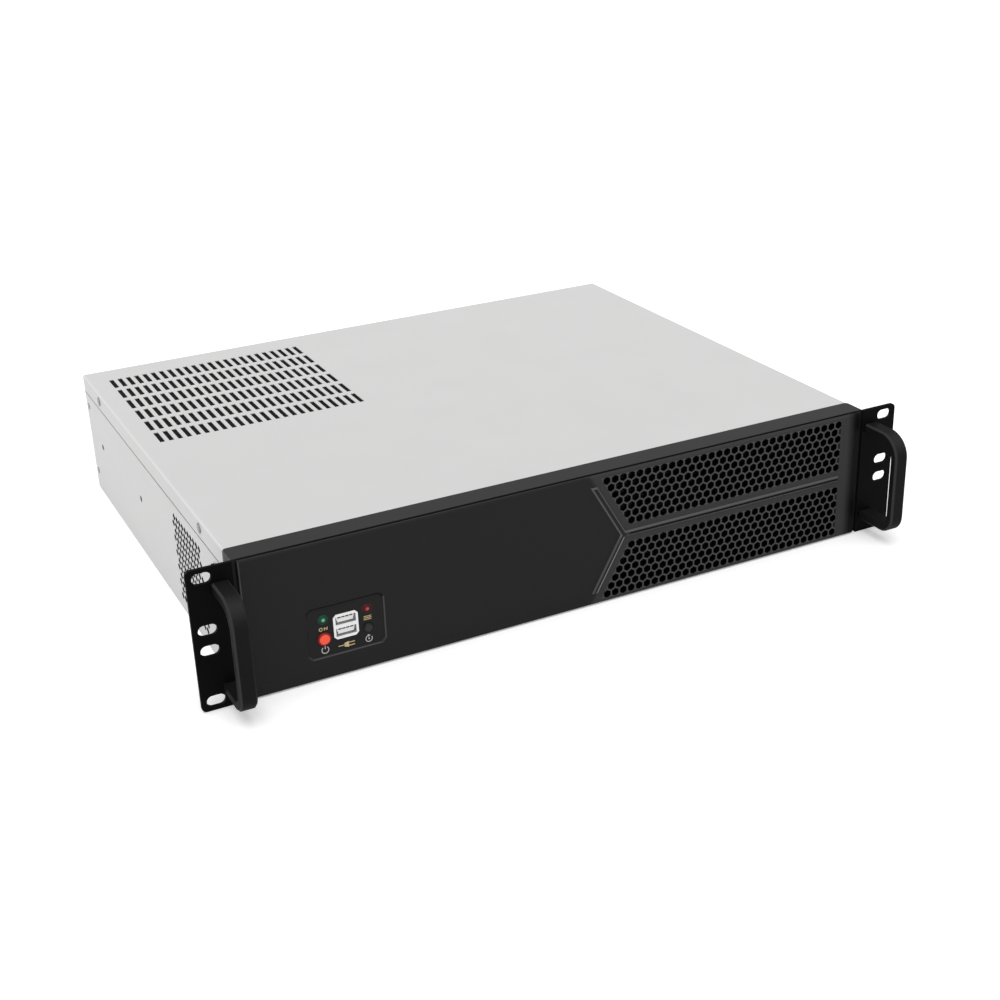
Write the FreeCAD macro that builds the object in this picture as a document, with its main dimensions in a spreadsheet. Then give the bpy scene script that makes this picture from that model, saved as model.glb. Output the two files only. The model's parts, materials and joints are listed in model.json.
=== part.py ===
import FreeCAD, Part
import math
import os
import types

import Sketcher

# An empty 2U rackmount server case, millimetres. X runs to the right as seen from the front, Y into the
# rack and Z up. The origin is the middle of the rack bolt pattern: X and Z are centred on the case and
# Y = 0 is the plane where the rear faces of the rack ears meet the rack rails.

SIZES = (
    # steel body
    ("case_width", 430.0, "outside width of the steel body"),
    ("case_height", 88.0, "outside height, just under two rack units"),
    ("case_rear", 348.0, "rear face of the body behind the rack plane"),
    ("case_front", 15.5, "front edge of tray and cover behind the rack plane"),
    ("sheet", 1.0, "thickness of the folded steel sheet"),
    ("fit_gap", 0.15, "gap between sheets that slide into each other"),
    ("cover_flange", 12.0, "height of the cover's side flange"),
    ("seam_gap", 0.4, "open seam under the cover's side flange"),
    ("cover_bend", 1.6, "outside bend radius of the cover"),
    ("tray_lip", 10.0, "inward lip along the top of the tray walls"),
    # top vent
    ("vent_columns", 24, "slots across the top vent"),
    ("vent_rows", 6, "slots along the top vent"),
    ("vent_slot_width", 3.2, "width of a top vent slot"),
    ("vent_slot_length", 18.4, "length of a top vent slot"),
    ("vent_pitch_x", 6.05, "column pitch of the top vent"),
    ("vent_pitch_y", 23.8, "row pitch of the top vent"),
    ("vent_side", 15.3, "first column of the top vent from the left side"),
    ("vent_rear", 31.2, "rear row of the top vent from the rear edge"),
    # side vent
    ("side_vent_columns", 10, "holes in a row of the side vent"),
    ("side_vent_rows", 12, "rows of the side vent"),
    ("side_vent_front", 51.0, "first column of the side vent behind the cover's front edge"),
    ("side_vent_lift", 0.5, "middle of the side vent above the middle of the wall"),
    ("side_hole_radius", 2.75, "corner radius of a side vent hole"),
    # honeycomb
    ("cell_pitch", 5.82, "distance between neighbouring honeycomb holes"),
    ("cell_point_gap", 0.04, "gap in height between the points of two rows of holes"),
    ("grille_rows", 7, "rows in each of the two honeycomb fields"),
    ("grille_columns", 31, "holes in the longest row"),
    ("grille_right", 20.65, "last hole of the longest row from the right side"),
    ("grille_edge", 5.5, "longest row from the top or bottom of the case"),
    ("grille_inner", 8.26, "shortest row from the middle"),
    ("grille_margin", 0.3, "plain edge round a honeycomb field"),
    # bezel
    ("bezel_wall", 2.5, "wall of the moulded bezel frame"),
    ("bezel_corner", 2.4, "corner radius of the bezel frame"),
    ("fascia_proud", 1.0, "fascia in front of the ears"),
    ("fascia_inset_x", 2.7, "fascia narrower than the frame at each end"),
    ("fascia_inset_z", 0.6, "fascia lower than the frame at top and bottom"),
    ("groove_depth", 1.6, "depth of the shadow groove round the fascia"),
    ("groove_width", 1.2, "width of the shadow groove round the fascia"),
    ("lip_depth", 4.0, "how far the fascia's end lips reach into the frame"),
    ("lip_thickness", 2.0, "thickness of the fascia's end lips"),
    ("lip_height", 60.0, "height of the fascia's end lips"),
    ("lip_gap", 0.25, "gap between a lip and the frame"),
    ("fascia_edge", 0.8, "chamfer round the front of the fascia"),
    ("ridge_width", 3.9, "width of the raised arrow ridge"),
    ("ridge_height", 1.0, "height of the raised arrow ridge"),
    ("ridge_bevel", 0.9, "sloped side of the ridge"),
    ("arrow_tip", 11.75, "tip of the arrow right of the first honeycomb hole"),
    ("arrow_edge", 8.0, "ends of the arrow's arms from the top or bottom of the case"),
    ("ridge_end", 18.5, "right end of the ridge from the right side"),
    ("ridge_groove", 0.9, "width of the groove along the middle ridge"),
    # control panel
    ("panel_side", 61.9, "middle of the control panel from the left side"),
    ("panel_z", -13.2, "middle of the control panel"),
    ("panel_width", 48.5, "width of the recessed control panel"),
    ("panel_height", 33.0, "height of the recessed control panel"),
    ("panel_depth", 1.0, "depth of the recess"),
    ("panel_bevel", 1.2, "sloped side of the recess"),
    ("panel_corner", 2.6, "cut corners of the recess"),
    ("control_spread", 13.5, "buttons and lamps left and right of the ports"),
    ("lamp_rise", 7.8, "lamps above the middle of the control panel"),
    ("button_drop", 4.7, "buttons below the middle of the control panel"),
    ("port_rise", 1.0, "double port above the middle of the control panel"),
    ("lamp_diameter", 5.0, "diameter of a lamp"),
    ("power_diameter", 8.2, "diameter of the power button"),
    ("reset_diameter", 6.0, "diameter of the reset button"),
    ("button_gap", 0.15, "gap round a button"),
    ("button_travel", 0.8, "travel of a button"),
    ("button_proud", 0.9, "button in front of the recess floor"),
    ("button_stem", 3.0, "width of a button's stem"),
    ("button_tab", 1.2, "reach of the tabs that keep a button behind the fascia"),
    ("button_tab_thickness", 1.0, "thickness of the tabs"),
    ("lamp_dome", 1.3, "sloped edge round the front of a lamp"),
    ("switch_width", 6.0, "width of a switch on the control board"),
    ("switch_height", 0.5, "height of a switch on the control board"),
    ("board_post", 3.0, "width of the posts that carry the control board"),
    ("board_post_inset", 2.6, "posts inside the control board's edge"),
    ("port_width", 15.2, "width of the double port's shell"),
    ("port_height", 15.9, "height of the double port's shell"),
    ("port_corner", 1.8, "cut corners of the shell"),
    ("port_wall", 0.9, "wall of the shell"),
    ("socket_width", 12.4, "width of one socket"),
    ("socket_height", 5.0, "height of one socket"),
    ("socket_pitch", 7.4, "distance between the two sockets"),
    ("tongue_height", 2.0, "thickness of the tongue in a socket"),
    ("port_proud", 0.5, "shell in front of the recess floor"),
    ("port_back", 2.0, "thickness of the moulded block behind the sockets"),
    ("board_front", 5.0, "front face of the control board"),
    ("board_thickness", 1.6, "thickness of the control board"),
    # rack ears and handles
    ("ear_reach", 26.3, "rack ear beyond the side of the body"),
    ("slot_side", 8.75, "rack slots from the outer edge of the ear"),
    ("slot_edge", 5.9, "outer rack slots from the top or bottom of the case"),
    ("slot_inner_z", 6.35, "inner rack slots from the middle"),
    ("slot_length", 11.0, "length of a rack slot"),
    ("slot_width", 6.8, "width of a rack slot"),
    ("ear_thickness", 2.0, "thickness of a rack ear"),
    ("ear_corner", 3.0, "corner radius of a rack ear"),
    ("ear_leg", 35.0, "length of the ear's leg along the case"),
    ("ear_leg_height", 54.0, "height of the ear's leg"),
    ("ear_screw_y", 26.0, "ear screws behind the rack plane"),
    ("handle_side", 7.5, "middle plane of a handle beyond the side of the body"),
    ("handle_width", 10.0, "width of the handle strap"),
    ("handle_strap", 5.0, "thickness of the handle strap"),
    ("handle_arm", 6.0, "height of a handle arm"),
    ("handle_reach", 32.0, "handle in front of the ear"),
    ("handle_top_edge", 10.0, "top of the handle below the top of the case"),
    ("handle_bottom_edge", 9.0, "bottom of the handle above the underside of the case"),
    ("handle_top_bend", 16.0, "outside bend at the top of the handle"),
    ("handle_bottom_bend", 12.0, "outside bend at the bottom of the handle"),
    ("handle_edge", 1.2, "chamfered outer edges of the handle"),
    # screws
    ("screw_head", 6.4, "head of a small screw"),
    ("screw_head_height", 1.0, "height of a small screw head"),
    ("cover_head_height", 0.5, "height of the flat heads that hold the cover"),
    ("handle_screw_head", 7.0, "head of a handle screw"),
    ("handle_screw_height", 2.0, "height of a handle screw's head"),
    ("cover_screw_front", 44.5, "front cover screw behind the cover's front edge"),
    ("cover_screw_rear", 47.0, "rear cover screw in front of the rear face"),
    ("cover_screw_drop", 5.5, "cover screws below the top"),
    ("rail_hole", 3.5, "hole for a slide rail"),
    ("rail_hole_rear", 36.5, "rear rail hole in front of the rear face"),
    ("rail_hole_pitch", 105.0, "distance between the rail holes"),
    ("rivet_head", 4.8, "head of a side rivet"),
    ("rivet_height", 0.25, "height of a side rivet's head"),
    ("rivet_rear", 6.5, "side rivets in front of the rear face"),
    ("rivet_upper", 22.0, "upper side rivet below the top"),
    ("rivet_lower", 15.2, "lower side rivet above the underside"),
    # rear panel
    ("psu_side", 9.0, "power supply opening from the left side"),
    ("psu_bottom", 3.0, "power supply opening above the underside"),
    ("psu_width", 82.0, "width of the opening for a small power supply"),
    ("psu_height", 41.0, "height of the opening for a small power supply"),
    ("io_side", 10.6, "connector window from the right side"),
    ("io_bottom", 5.5, "connector window above the underside"),
    ("io_width", 158.75, "width of the connector window"),
    ("io_height", 44.45, "height of the connector window"),
    ("card_slots", 4, "low profile card slots"),
    ("card_first", 16.0, "first card slot from the connector window"),
    ("card_pitch", 20.32, "distance between card slots"),
    ("card_opening_width", 13.0, "width of a card slot opening"),
    ("card_opening_bottom", 9.0, "card slot opening above the underside"),
    ("card_opening_top", 13.0, "card slot opening below the top"),
    ("card_cover_width", 18.4, "width of a slot cover"),
    ("card_cover_lap", 3.0, "lower overlap of a slot cover"),
    ("card_cover_tab", 8.0, "upper overlap of a slot cover, with its screw"),
    ("side_flange", 12.0, "side flanges of the rear panel"),
    ("front_flange", 18.0, "side flanges of the front plate"),
    # inside
    ("fan_margin", 3.7, "front plate above a fan opening"),
    ("fan_pitch", 86.0, "distance between the fan openings"),
    ("board_side", 12.0, "outer column of board standoffs from the right side"),
    ("board_row", 12.0, "rear row of board standoffs in front of the rear face"),
    ("board_holes_inner", 157.48, "second column of the board's holes from the outer one"),
    ("board_holes_outer", 203.2, "third column of the board's holes from the outer one"),
    ("board_holes_middle", 154.94, "second row of the board's holes from the rear one"),
    ("board_holes_front", 227.33, "third row of the board's holes from the rear one"),
    ("standoff_height", 6.5, "height of a board standoff"),
    ("standoff_size", 5.5, "width across the flats of a board standoff"),
    ("cage_width", 104.0, "inside width of the drive cage"),
    ("cage_rear_gap", 1.5, "gap between the drive cage and the power supply support"),
    ("cage_height", 58.0, "height of the drive cage"),
    ("cage_left", 12.0, "drive cage from the left side wall"),
    ("cage_front", 30.0, "drive cage behind the front edge"),
    ("cage_foot", 10.0, "feet of the drive cage"),
    ("support_depth", 152.5, "power supply support in front of the rear face"),
    ("support_height", 24.0, "height of the power supply support"),
    ("support_foot", 16.0, "foot of the power supply support"),
)

COUNTS = ("vent_columns", "vent_rows", "side_vent_columns", "side_vent_rows",
          "grille_rows", "grille_columns", "card_slots")


class Length:
    """A number together with the spreadsheet expression that gives it."""

    def __init__(self, value, text):
        self.value = value
        self.text = text

    def combine(self, other, sign, swap=False):
        other = length(other)
        left, right = (other, self) if swap else (self, other)
        results = {"+": lambda a, b: a + b, "-": lambda a, b: a - b,
                   "*": lambda a, b: a * b, "/": lambda a, b: a / b}
        value = results[sign](left.value, right.value)
        return Length(value, f"({left.text} {sign} {right.text})")

    def __add__(self, other):
        return self.combine(other, "+")

    def __radd__(self, other):
        return self.combine(other, "+", True)

    def __sub__(self, other):
        return self.combine(other, "-")

    def __rsub__(self, other):
        return self.combine(other, "-", True)

    def __mul__(self, other):
        return self.combine(other, "*")

    def __rmul__(self, other):
        return self.combine(other, "*", True)

    def __truediv__(self, other):
        return self.combine(other, "/")

    def __neg__(self):
        return self.combine(-1, "*")


def length(number):
    if isinstance(number, Length):
        return number
    return Length(float(number), f"({float(number)!r})")


doc = FreeCAD.newDocument("server_case")
sheet = doc.addObject("Spreadsheet::Sheet", "sizes")
named = {}
for row, (alias, value, meaning) in enumerate(SIZES, start=1):
    sheet.set(f"A{row}", meaning)
    sheet.set(f"B{row}", str(value))
    sheet.setAlias(f"B{row}", alias)
    named[alias] = value if alias in COUNTS else Length(value, f"sizes.{alias}")
doc.recompute()
size = types.SimpleNamespace(**named)

# ---------------------------------------------------------------- modelling helpers

FASTENER_SIDES = 12
LAMP_SIDES = 16
PLANES = {"XY": "XY_Plane", "XZ": "XZ_Plane", "YZ": "YZ_Plane"}
parts = {}


def bind(target, prop, value):
    target.setExpression(prop, length(value).text)


class Profile:
    """A closed sketch on an origin plane of a body, every point bound to the spreadsheet."""

    def __init__(self, body, name, plane, level):
        self.sketch = body.newObject("Sketcher::SketchObject", name)
        origin_plane = next(f for f in body.Origin.OriginFeatures if f.Role == PLANES[plane])
        self.sketch.AttachmentSupport = [(origin_plane, "")]
        self.sketch.MapMode = "FlatFace"
        bind(self.sketch, "AttachmentOffset.Base.z", -length(level) if plane == "XZ" else level)

    def place(self, geometry, point, across, up):
        for kind, distance in (("DistanceX", across), ("DistanceY", up)):
            distance = length(distance)
            number = self.sketch.addConstraint(
                Sketcher.Constraint(kind, -1, 1, geometry, point, distance.value))
            self.sketch.setExpression(f"Constraints[{number}]", distance.text)

    def polygon(self, points):
        points = [(length(across), length(up)) for across, up in points]
        corners = [FreeCAD.Vector(across.value, up.value, 0) for across, up in points]
        lines = [self.sketch.addGeometry(Part.LineSegment(start, end), False)
                 for start, end in zip(corners, corners[1:] + corners[:1])]
        for line, following in zip(lines, lines[1:] + lines[:1]):
            self.sketch.addConstraint(Sketcher.Constraint("Coincident", line, 2, following, 1))
        for line, (across, up) in zip(lines, points):
            self.place(line, 1, across, up)

    def rectangle(self, left, right, low, high):
        self.polygon([(left, low), (right, low), (right, high), (left, high)])

    def circle(self, across, up, diameter):
        across, up, diameter = length(across), length(up), length(diameter)
        circle = self.sketch.addGeometry(
            Part.Circle(FreeCAD.Vector(across.value, up.value, 0), FreeCAD.Vector(0, 0, 1),
                        diameter.value / 2), False)
        self.place(circle, 3, across, up)
        number = self.sketch.addConstraint(Sketcher.Constraint("Diameter", circle, diameter.value))
        self.sketch.setExpression(f"Constraints[{number}]", diameter.text)


def new_body(label):
    body = doc.addObject("PartDesign::Body", label)
    body.Label = label
    return body


def pad(body, name, plane, start, end, draw):
    """Adds what draw() sketches between two levels across the plane."""
    profile = Profile(body, name + "_sketch", plane, end if plane == "XZ" else start)
    draw(profile)
    feature = body.newObject("PartDesign::Pad", name)
    feature.Profile = profile.sketch
    bind(feature, "Length", end - start)
    doc.recompute()
    return feature


def pocket(body, name, plane, start, end, draw):
    """Cuts what draw() sketches between two levels across the plane."""
    profile = Profile(body, name + "_sketch", plane, start if plane == "XZ" else end)
    draw(profile)
    feature = body.newObject("PartDesign::Pocket", name)
    feature.Profile = profile.sketch
    bind(feature, "Length", end - start)
    doc.recompute()
    return feature


def loft(body, name, plane, start, draw_start, end, draw_end, kind="PartDesign::AdditiveLoft"):
    """Adds or cuts a solid that runs from one sketched outline to another."""
    first = Profile(body, name + "_start", plane, start)
    draw_start(first)
    second = Profile(body, name + "_end", plane, end)
    draw_end(second)
    feature = body.newObject(kind, name)
    feature.Profile = first.sketch
    feature.Sections = [second.sketch]
    feature.Ruled = True
    doc.recompute()
    return feature


def edges_where(feature, test):
    return [f"Edge{number}" for number, edge in enumerate(feature.Shape.Edges, start=1) if test(edge)]


def dress(body, name, kind, prop, amount, feature, test):
    """Fillets or chamfers the edges of a feature that pass the test."""
    chosen = edges_where(feature, test)
    if not chosen:
        raise RuntimeError(f"{name}: no edge found")
    made = body.newObject(kind, name)
    made.Base = (feature, chosen)
    bind(made, prop, amount)
    doc.recompute()
    return made


def fillet(body, name, radius, feature, test):
    return dress(body, name, "PartDesign::Fillet", "Radius", radius, feature, test)


def chamfer(body, name, amount, feature, test):
    return dress(body, name, "PartDesign::Chamfer", "Size", amount, feature, test)


def repeat(body, name, feature, axis, pitch, count):
    """Repeats a feature in a row along one axis of its body."""
    made = body.newObject("PartDesign::LinearPattern", name)
    made.Originals = [feature]
    made.Direction = (next(f for f in body.Origin.OriginFeatures if f.Role == axis), [""])
    made.Occurrences = count
    bind(made, "Length", pitch * (count - 1))
    body.Tip = made
    doc.recompute()
    return made


def close(first, second):
    return abs(first - length(second).value) < 0.01


def runs_along(edge, axis):
    """True for a straight edge along an axis, 0 for X, 1 for Y and 2 for Z."""
    first, last = edge.Vertexes[0].Point, edge.Vertexes[-1].Point
    reach = [abs(first[k] - last[k]) for k in range(3)]
    return isinstance(edge.Curve, Part.Line) and reach[axis] > 0.01 and sum(reach) - reach[axis] < 0.01


def middle(edge):
    return edge.CenterOfMass


def fastener(name, axis, spot, face, outward, head, height):
    """A screw or rivet head lying on a face; outward is +1 or -1 along the axis."""
    made = doc.addObject("Part::Prism", name)
    made.Polygon = FASTENER_SIDES
    bind(made, "Circumradius", length(head) / 2)
    bind(made, "Height", height)
    turned = FreeCAD.Vector(outward, 0, 0) if axis == "X" else FreeCAD.Vector(0, outward, 0)
    made.Placement.Rotation = FreeCAD.Rotation(FreeCAD.Vector(0, 0, 1), turned)
    place = (face, *spot) if axis == "X" else (spot[0], face, spot[1])
    for letter, value in zip("xyz", place):
        bind(made, f"Placement.Base.{letter}", value)
    return made


def group(label, pieces):
    """Several separate solids kept as one sub-part."""
    made = doc.addObject("Part::Compound", label)
    made.Links = pieces
    finish(label, made)


def finish(label, made):
    """Keeps a finished sub-part under the label that names its file."""
    made.Label = label
    parts[label] = made


# ---------------------------------------------------------------- shared sizes

half_width = size.case_width / 2
half_height = size.case_height / 2
inside_x = half_width - size.sheet
inside_x_fit = inside_x - size.fit_gap
floor_top = -half_height + size.sheet
floor_fit = floor_top + size.fit_gap
lip_top = half_height - size.sheet - size.fit_gap
lip_under = lip_top - size.sheet
panel_top = lip_under - size.fit_gap
seam_z = half_height - size.cover_flange
cover_screw_z = half_height - size.cover_screw_drop
cover_screw_ys = (size.case_front + size.cover_screw_front, size.case_rear - size.cover_screw_rear)
rivet_y = size.case_rear - size.rivet_rear
rivet_zs = (half_height - size.rivet_upper, -half_height + size.rivet_lower)
rail_hole_ys = (size.case_rear - size.rail_hole_rear,
                size.case_rear - size.rail_hole_rear - size.rail_hole_pitch)
joggle_z = seam_z - size.seam_gap - size.sheet
ear_screw_zs = tuple(size.ear_leg_height / 3 * step for step in (-1, 0, 1))
ear_front = -size.ear_thickness
ear_inner_x = half_width + size.fit_gap
ear_outer_x = half_width + size.ear_reach
slot_x = ear_outer_x - size.slot_side
handle_x = half_width + size.handle_side
handle_top = half_height - size.handle_top_edge
handle_bottom = -half_height + size.handle_bottom_edge
fascia_front = ear_front - size.fascia_proud
recess_floor = fascia_front + size.panel_depth
side_row_pitch = size.cell_pitch * math.sqrt(3) / 2
grille_outer = half_height - size.grille_edge
row_pitch = (grille_outer - size.grille_inner) / (size.grille_rows - 1)
cell_radius = (row_pitch - size.cell_point_gap) / 2
grille_length = size.cell_pitch * (size.grille_columns - 1)
grille_left = half_width - size.grille_right - grille_length
grille_far = grille_outer + cell_radius + size.grille_margin
grille_near = size.grille_inner - cell_radius - size.grille_margin
grille_slope = size.cell_pitch / 2 / row_pitch
arrow_tip = grille_left + size.arrow_tip
arrow_reach = half_height - size.arrow_edge
ridge_end = half_width - size.ridge_end
fan_opening = (panel_top - size.fan_margin) * 2
fan_xs = tuple(grille_left + grille_length / 2 + size.fan_pitch * step for step in (-0.5, 0.5))
panel_x = -half_width + size.panel_side
lamp_z = size.panel_z + size.lamp_rise
button_z = size.panel_z - size.button_drop
port_z = size.panel_z + size.port_rise
board_half_x = size.panel_width / 2 - size.panel_bevel
board_half_z = size.panel_height / 2 - size.panel_bevel
control_xs = (panel_x - size.control_spread, panel_x + size.control_spread)
handle_screw_zs = (handle_top - size.handle_arm / 2, handle_bottom + size.handle_arm / 2)
slot_outer_z = half_height - size.slot_edge
slot_zs = (slot_outer_z, size.slot_inner_z, -size.slot_inner_z, -slot_outer_z)
psu_left = -half_width + size.psu_side
io_right = half_width - size.io_side
card_first_x = io_right - size.io_width - size.card_first
card_xs = tuple(card_first_x - size.card_pitch * step for step in range(size.card_slots))
card_low = -half_height + size.card_opening_bottom
card_high = half_height - size.card_opening_top
card_screw_z = card_high + size.card_cover_tab / 2
panel_inside = size.case_rear - size.sheet
support_y = size.case_rear - size.support_depth


def standing_polygon(sides, radius, across, up):
    """Corners of a regular polygon that stands on a point, clockwise."""
    corners = []
    for step in range(sides):
        angle = math.tau * step / sides
        corners.append((across + radius * math.sin(angle), up + radius * math.cos(angle)))
    return corners


# ---------------------------------------------------------------- steel body


def tray_outline(profile):
    """The tray's folded section: floor, walls, a joggle behind the cover's flange and inward lips."""
    step_z = seam_z - size.seam_gap
    right = [
        (half_width, -half_height),
        (half_width, step_z),
        (inside_x_fit, step_z),
        (inside_x_fit, lip_top),
        (inside_x_fit - size.tray_lip, lip_top),
        (inside_x_fit - size.tray_lip, lip_under),
        (inside_x_fit - size.sheet, lip_under),
        (inside_x_fit - size.sheet, joggle_z),
        (inside_x, joggle_z),
        (inside_x, floor_top),
    ]
    left = [(-across, up) for across, up in reversed(right)]
    profile.polygon(right + left)


def chassis_tray():
    body = new_body("chassis_tray")
    pad(body, "tray_sheet", "XZ", size.case_front, size.case_rear, tray_outline)

    def rail_holes(profile):
        for y in rail_hole_ys:
            profile.circle(y, 0, size.rail_hole)

    reach = half_width + size.sheet
    pocket(body, "tray_rail_holes", "YZ", -reach, reach, rail_holes)

    vent_top = (floor_top + joggle_z + side_row_pitch * (size.side_vent_rows - 1)) / 2 + size.side_vent_lift

    def vent_column(profile):
        """One hole of every row; every other row stands half a pitch further back."""
        for row in range(size.side_vent_rows):
            y = size.case_front + size.side_vent_front + size.cell_pitch * (row % 2) / 2
            profile.polygon(standing_polygon(4, size.side_hole_radius, y, vent_top - side_row_pitch * row))

    column = pocket(body, "side_vent_column", "YZ", -reach, -inside_x + size.sheet, vent_column)
    repeat(body, "side_vent", column, "Y_Axis", size.cell_pitch, size.side_vent_columns)
    finish("chassis_tray", body)


def top_cover():
    body = new_body("top_cover")

    def section(profile):
        profile.polygon([
            (-half_width, seam_z), (-half_width, half_height),
            (half_width, half_height), (half_width, seam_z),
            (inside_x, seam_z), (inside_x, half_height - size.sheet),
            (-inside_x, half_height - size.sheet), (-inside_x, seam_z)])

    folded = pad(body, "cover_sheet", "XZ", size.case_front, size.case_rear, section)
    fillet(body, "cover_bends", size.cover_bend, folded,
           lambda edge: runs_along(edge, 1) and close(abs(middle(edge).x), half_width)
           and close(middle(edge).z, half_height))

    def slot_column(profile):
        left = -half_width + size.vent_side - size.vent_slot_width / 2
        for number in range(size.vent_rows):
            far = size.case_rear - size.vent_rear - size.vent_pitch_y * number + size.vent_slot_length / 2
            profile.rectangle(left, left + size.vent_slot_width, far - size.vent_slot_length, far)

    column = pocket(body, "vent_column", "XY", half_height - size.sheet * 2, half_height, slot_column)
    repeat(body, "top_vent", column, "X_Axis", size.vent_pitch_x, size.vent_columns)
    finish("top_cover", body)


def flanged_plate(body, front, flange_start, flange_end):
    """A plate between the tray's walls, narrower beside their joggle, with a flange along each wall."""
    top = joggle_z - size.fit_gap
    inner = inside_x_fit - size.sheet
    narrow = inner - size.fit_gap

    def face(profile):
        right = [(inside_x_fit, floor_fit), (inside_x_fit, top), (narrow, top), (narrow, panel_top)]
        profile.polygon(right + [(-across, up) for across, up in reversed(right)])

    pad(body, body.Label + "_face", "XZ", front, front + size.sheet, face)

    def flanges(profile):
        profile.rectangle(-inside_x_fit, -inner, floor_fit, top)
        profile.rectangle(inner, inside_x_fit, floor_fit, top)

    pad(body, body.Label + "_flanges", "XZ", flange_start, flange_end, flanges)


def rear_panel():
    body = new_body("rear_panel")
    flanged_plate(body, panel_inside, panel_inside - size.side_flange, panel_inside)

    def openings(profile):
        low = -half_height + size.psu_bottom
        profile.rectangle(psu_left, psu_left + size.psu_width, low, low + size.psu_height)
        low = -half_height + size.io_bottom
        profile.rectangle(io_right - size.io_width, io_right, low, low + size.io_height)
        for x in card_xs:
            profile.rectangle(x - size.card_opening_width / 2, x + size.card_opening_width / 2,
                              card_low, card_high)

    pocket(body, "rear_openings", "XZ", panel_inside - size.sheet, size.case_rear + size.sheet, openings)
    finish("rear_panel", body)


def front_plate():
    body = new_body("front_plate")
    rear = size.case_front + size.sheet
    flanged_plate(body, size.case_front, rear, rear + size.front_flange)

    def openings(profile):
        for x in fan_xs:
            profile.circle(x, 0, fan_opening)
        profile.rectangle(panel_x - size.panel_width / 2, panel_x + size.panel_width / 2,
                          size.panel_z - size.panel_height / 2, size.panel_z + size.panel_height / 2)

    pocket(body, "front_openings", "XZ", size.case_front - size.sheet, rear + size.sheet, openings)
    finish("front_plate", body)


def slot_covers():
    for number, x in enumerate(card_xs, start=1):
        body = new_body(f"slot_cover_{number}")

        def blank(profile, x=x):
            profile.rectangle(x - size.card_cover_width / 2, x + size.card_cover_width / 2,
                              card_low - size.card_cover_lap, card_high + size.card_cover_tab)

        pad(body, f"slot_blank_{number}", "XZ", panel_inside - size.sheet, panel_inside, blank)
        finish(f"slot_cover_{number}", body)


# ---------------------------------------------------------------- inside


def board_standoffs():
    """Hexagonal standoffs on the hole pattern of a micro ATX board, whose rear edge meets the panel."""
    columns = (0, size.board_holes_inner, size.board_holes_outer)
    rows = (0, size.board_holes_middle, size.board_holes_front)
    pieces = []
    for column in columns:
        for row in rows:
            post = doc.addObject("Part::Prism", f"standoff_{len(pieces)}")
            post.Polygon = 6
            bind(post, "Circumradius", size.standoff_size / math.sqrt(3))
            bind(post, "Height", size.standoff_height)
            bind(post, "Placement.Base.x", half_width - size.board_side - column)
            bind(post, "Placement.Base.y", size.case_rear - size.board_row - row)
            bind(post, "Placement.Base.z", floor_top)
            pieces.append(post)
    group("board_standoffs", pieces)


def drive_cage():
    body = new_body("drive_cage")
    left = -inside_x + size.cage_left
    right = left + size.cage_width + size.sheet * 2

    def channel(profile):
        """An upside-down channel that stands on two outward feet."""
        top = floor_top + size.cage_height
        profile.polygon([
            (left - size.cage_foot, floor_top), (left + size.sheet, floor_top),
            (left + size.sheet, top - size.sheet), (right - size.sheet, top - size.sheet),
            (right - size.sheet, floor_top), (right + size.cage_foot, floor_top),
            (right + size.cage_foot, floor_top + size.sheet), (right, floor_top + size.sheet),
            (right, top), (left, top),
            (left, floor_top + size.sheet), (left - size.cage_foot, floor_top + size.sheet)])

    pad(body, "cage_channel", "XZ", size.case_front + size.cage_front,
        support_y - size.support_foot - size.cage_rear_gap, channel)
    finish("drive_cage", body)


def psu_support():
    """The stop in front of the power supply, as wide as its opening."""
    body = new_body("psu_support")

    def angle(profile):
        """An angle that stands on a foot pointing to the front."""
        profile.polygon([
            (support_y - size.support_foot, floor_top), (support_y + size.sheet, floor_top),
            (support_y + size.sheet, floor_top + size.support_height),
            (support_y, floor_top + size.support_height),
            (support_y, floor_top + size.sheet),
            (support_y - size.support_foot, floor_top + size.sheet)])

    pad(body, "support_angle", "YZ", psu_left, psu_left + size.psu_width, angle)
    finish("psu_support", body)


# ---------------------------------------------------------------- bezel


def bezel_frame():
    body = new_body("bezel_frame")

    def ring(profile):
        profile.rectangle(-half_width, half_width, -half_height, half_height)

    def hollow(profile):
        profile.rectangle(-half_width + size.bezel_wall, half_width - size.bezel_wall,
                          -half_height + size.bezel_wall, half_height - size.bezel_wall)

    block = pad(body, "frame_block", "XZ", length(0), size.case_front, ring)
    fillet(body, "frame_corners", size.bezel_corner, block,
           lambda edge: runs_along(edge, 2) and close(middle(edge).y, size.case_front))
    pocket(body, "frame_hollow", "XZ", length(-1), size.case_front + 1, hollow)
    finish("bezel_frame", body)


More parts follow.
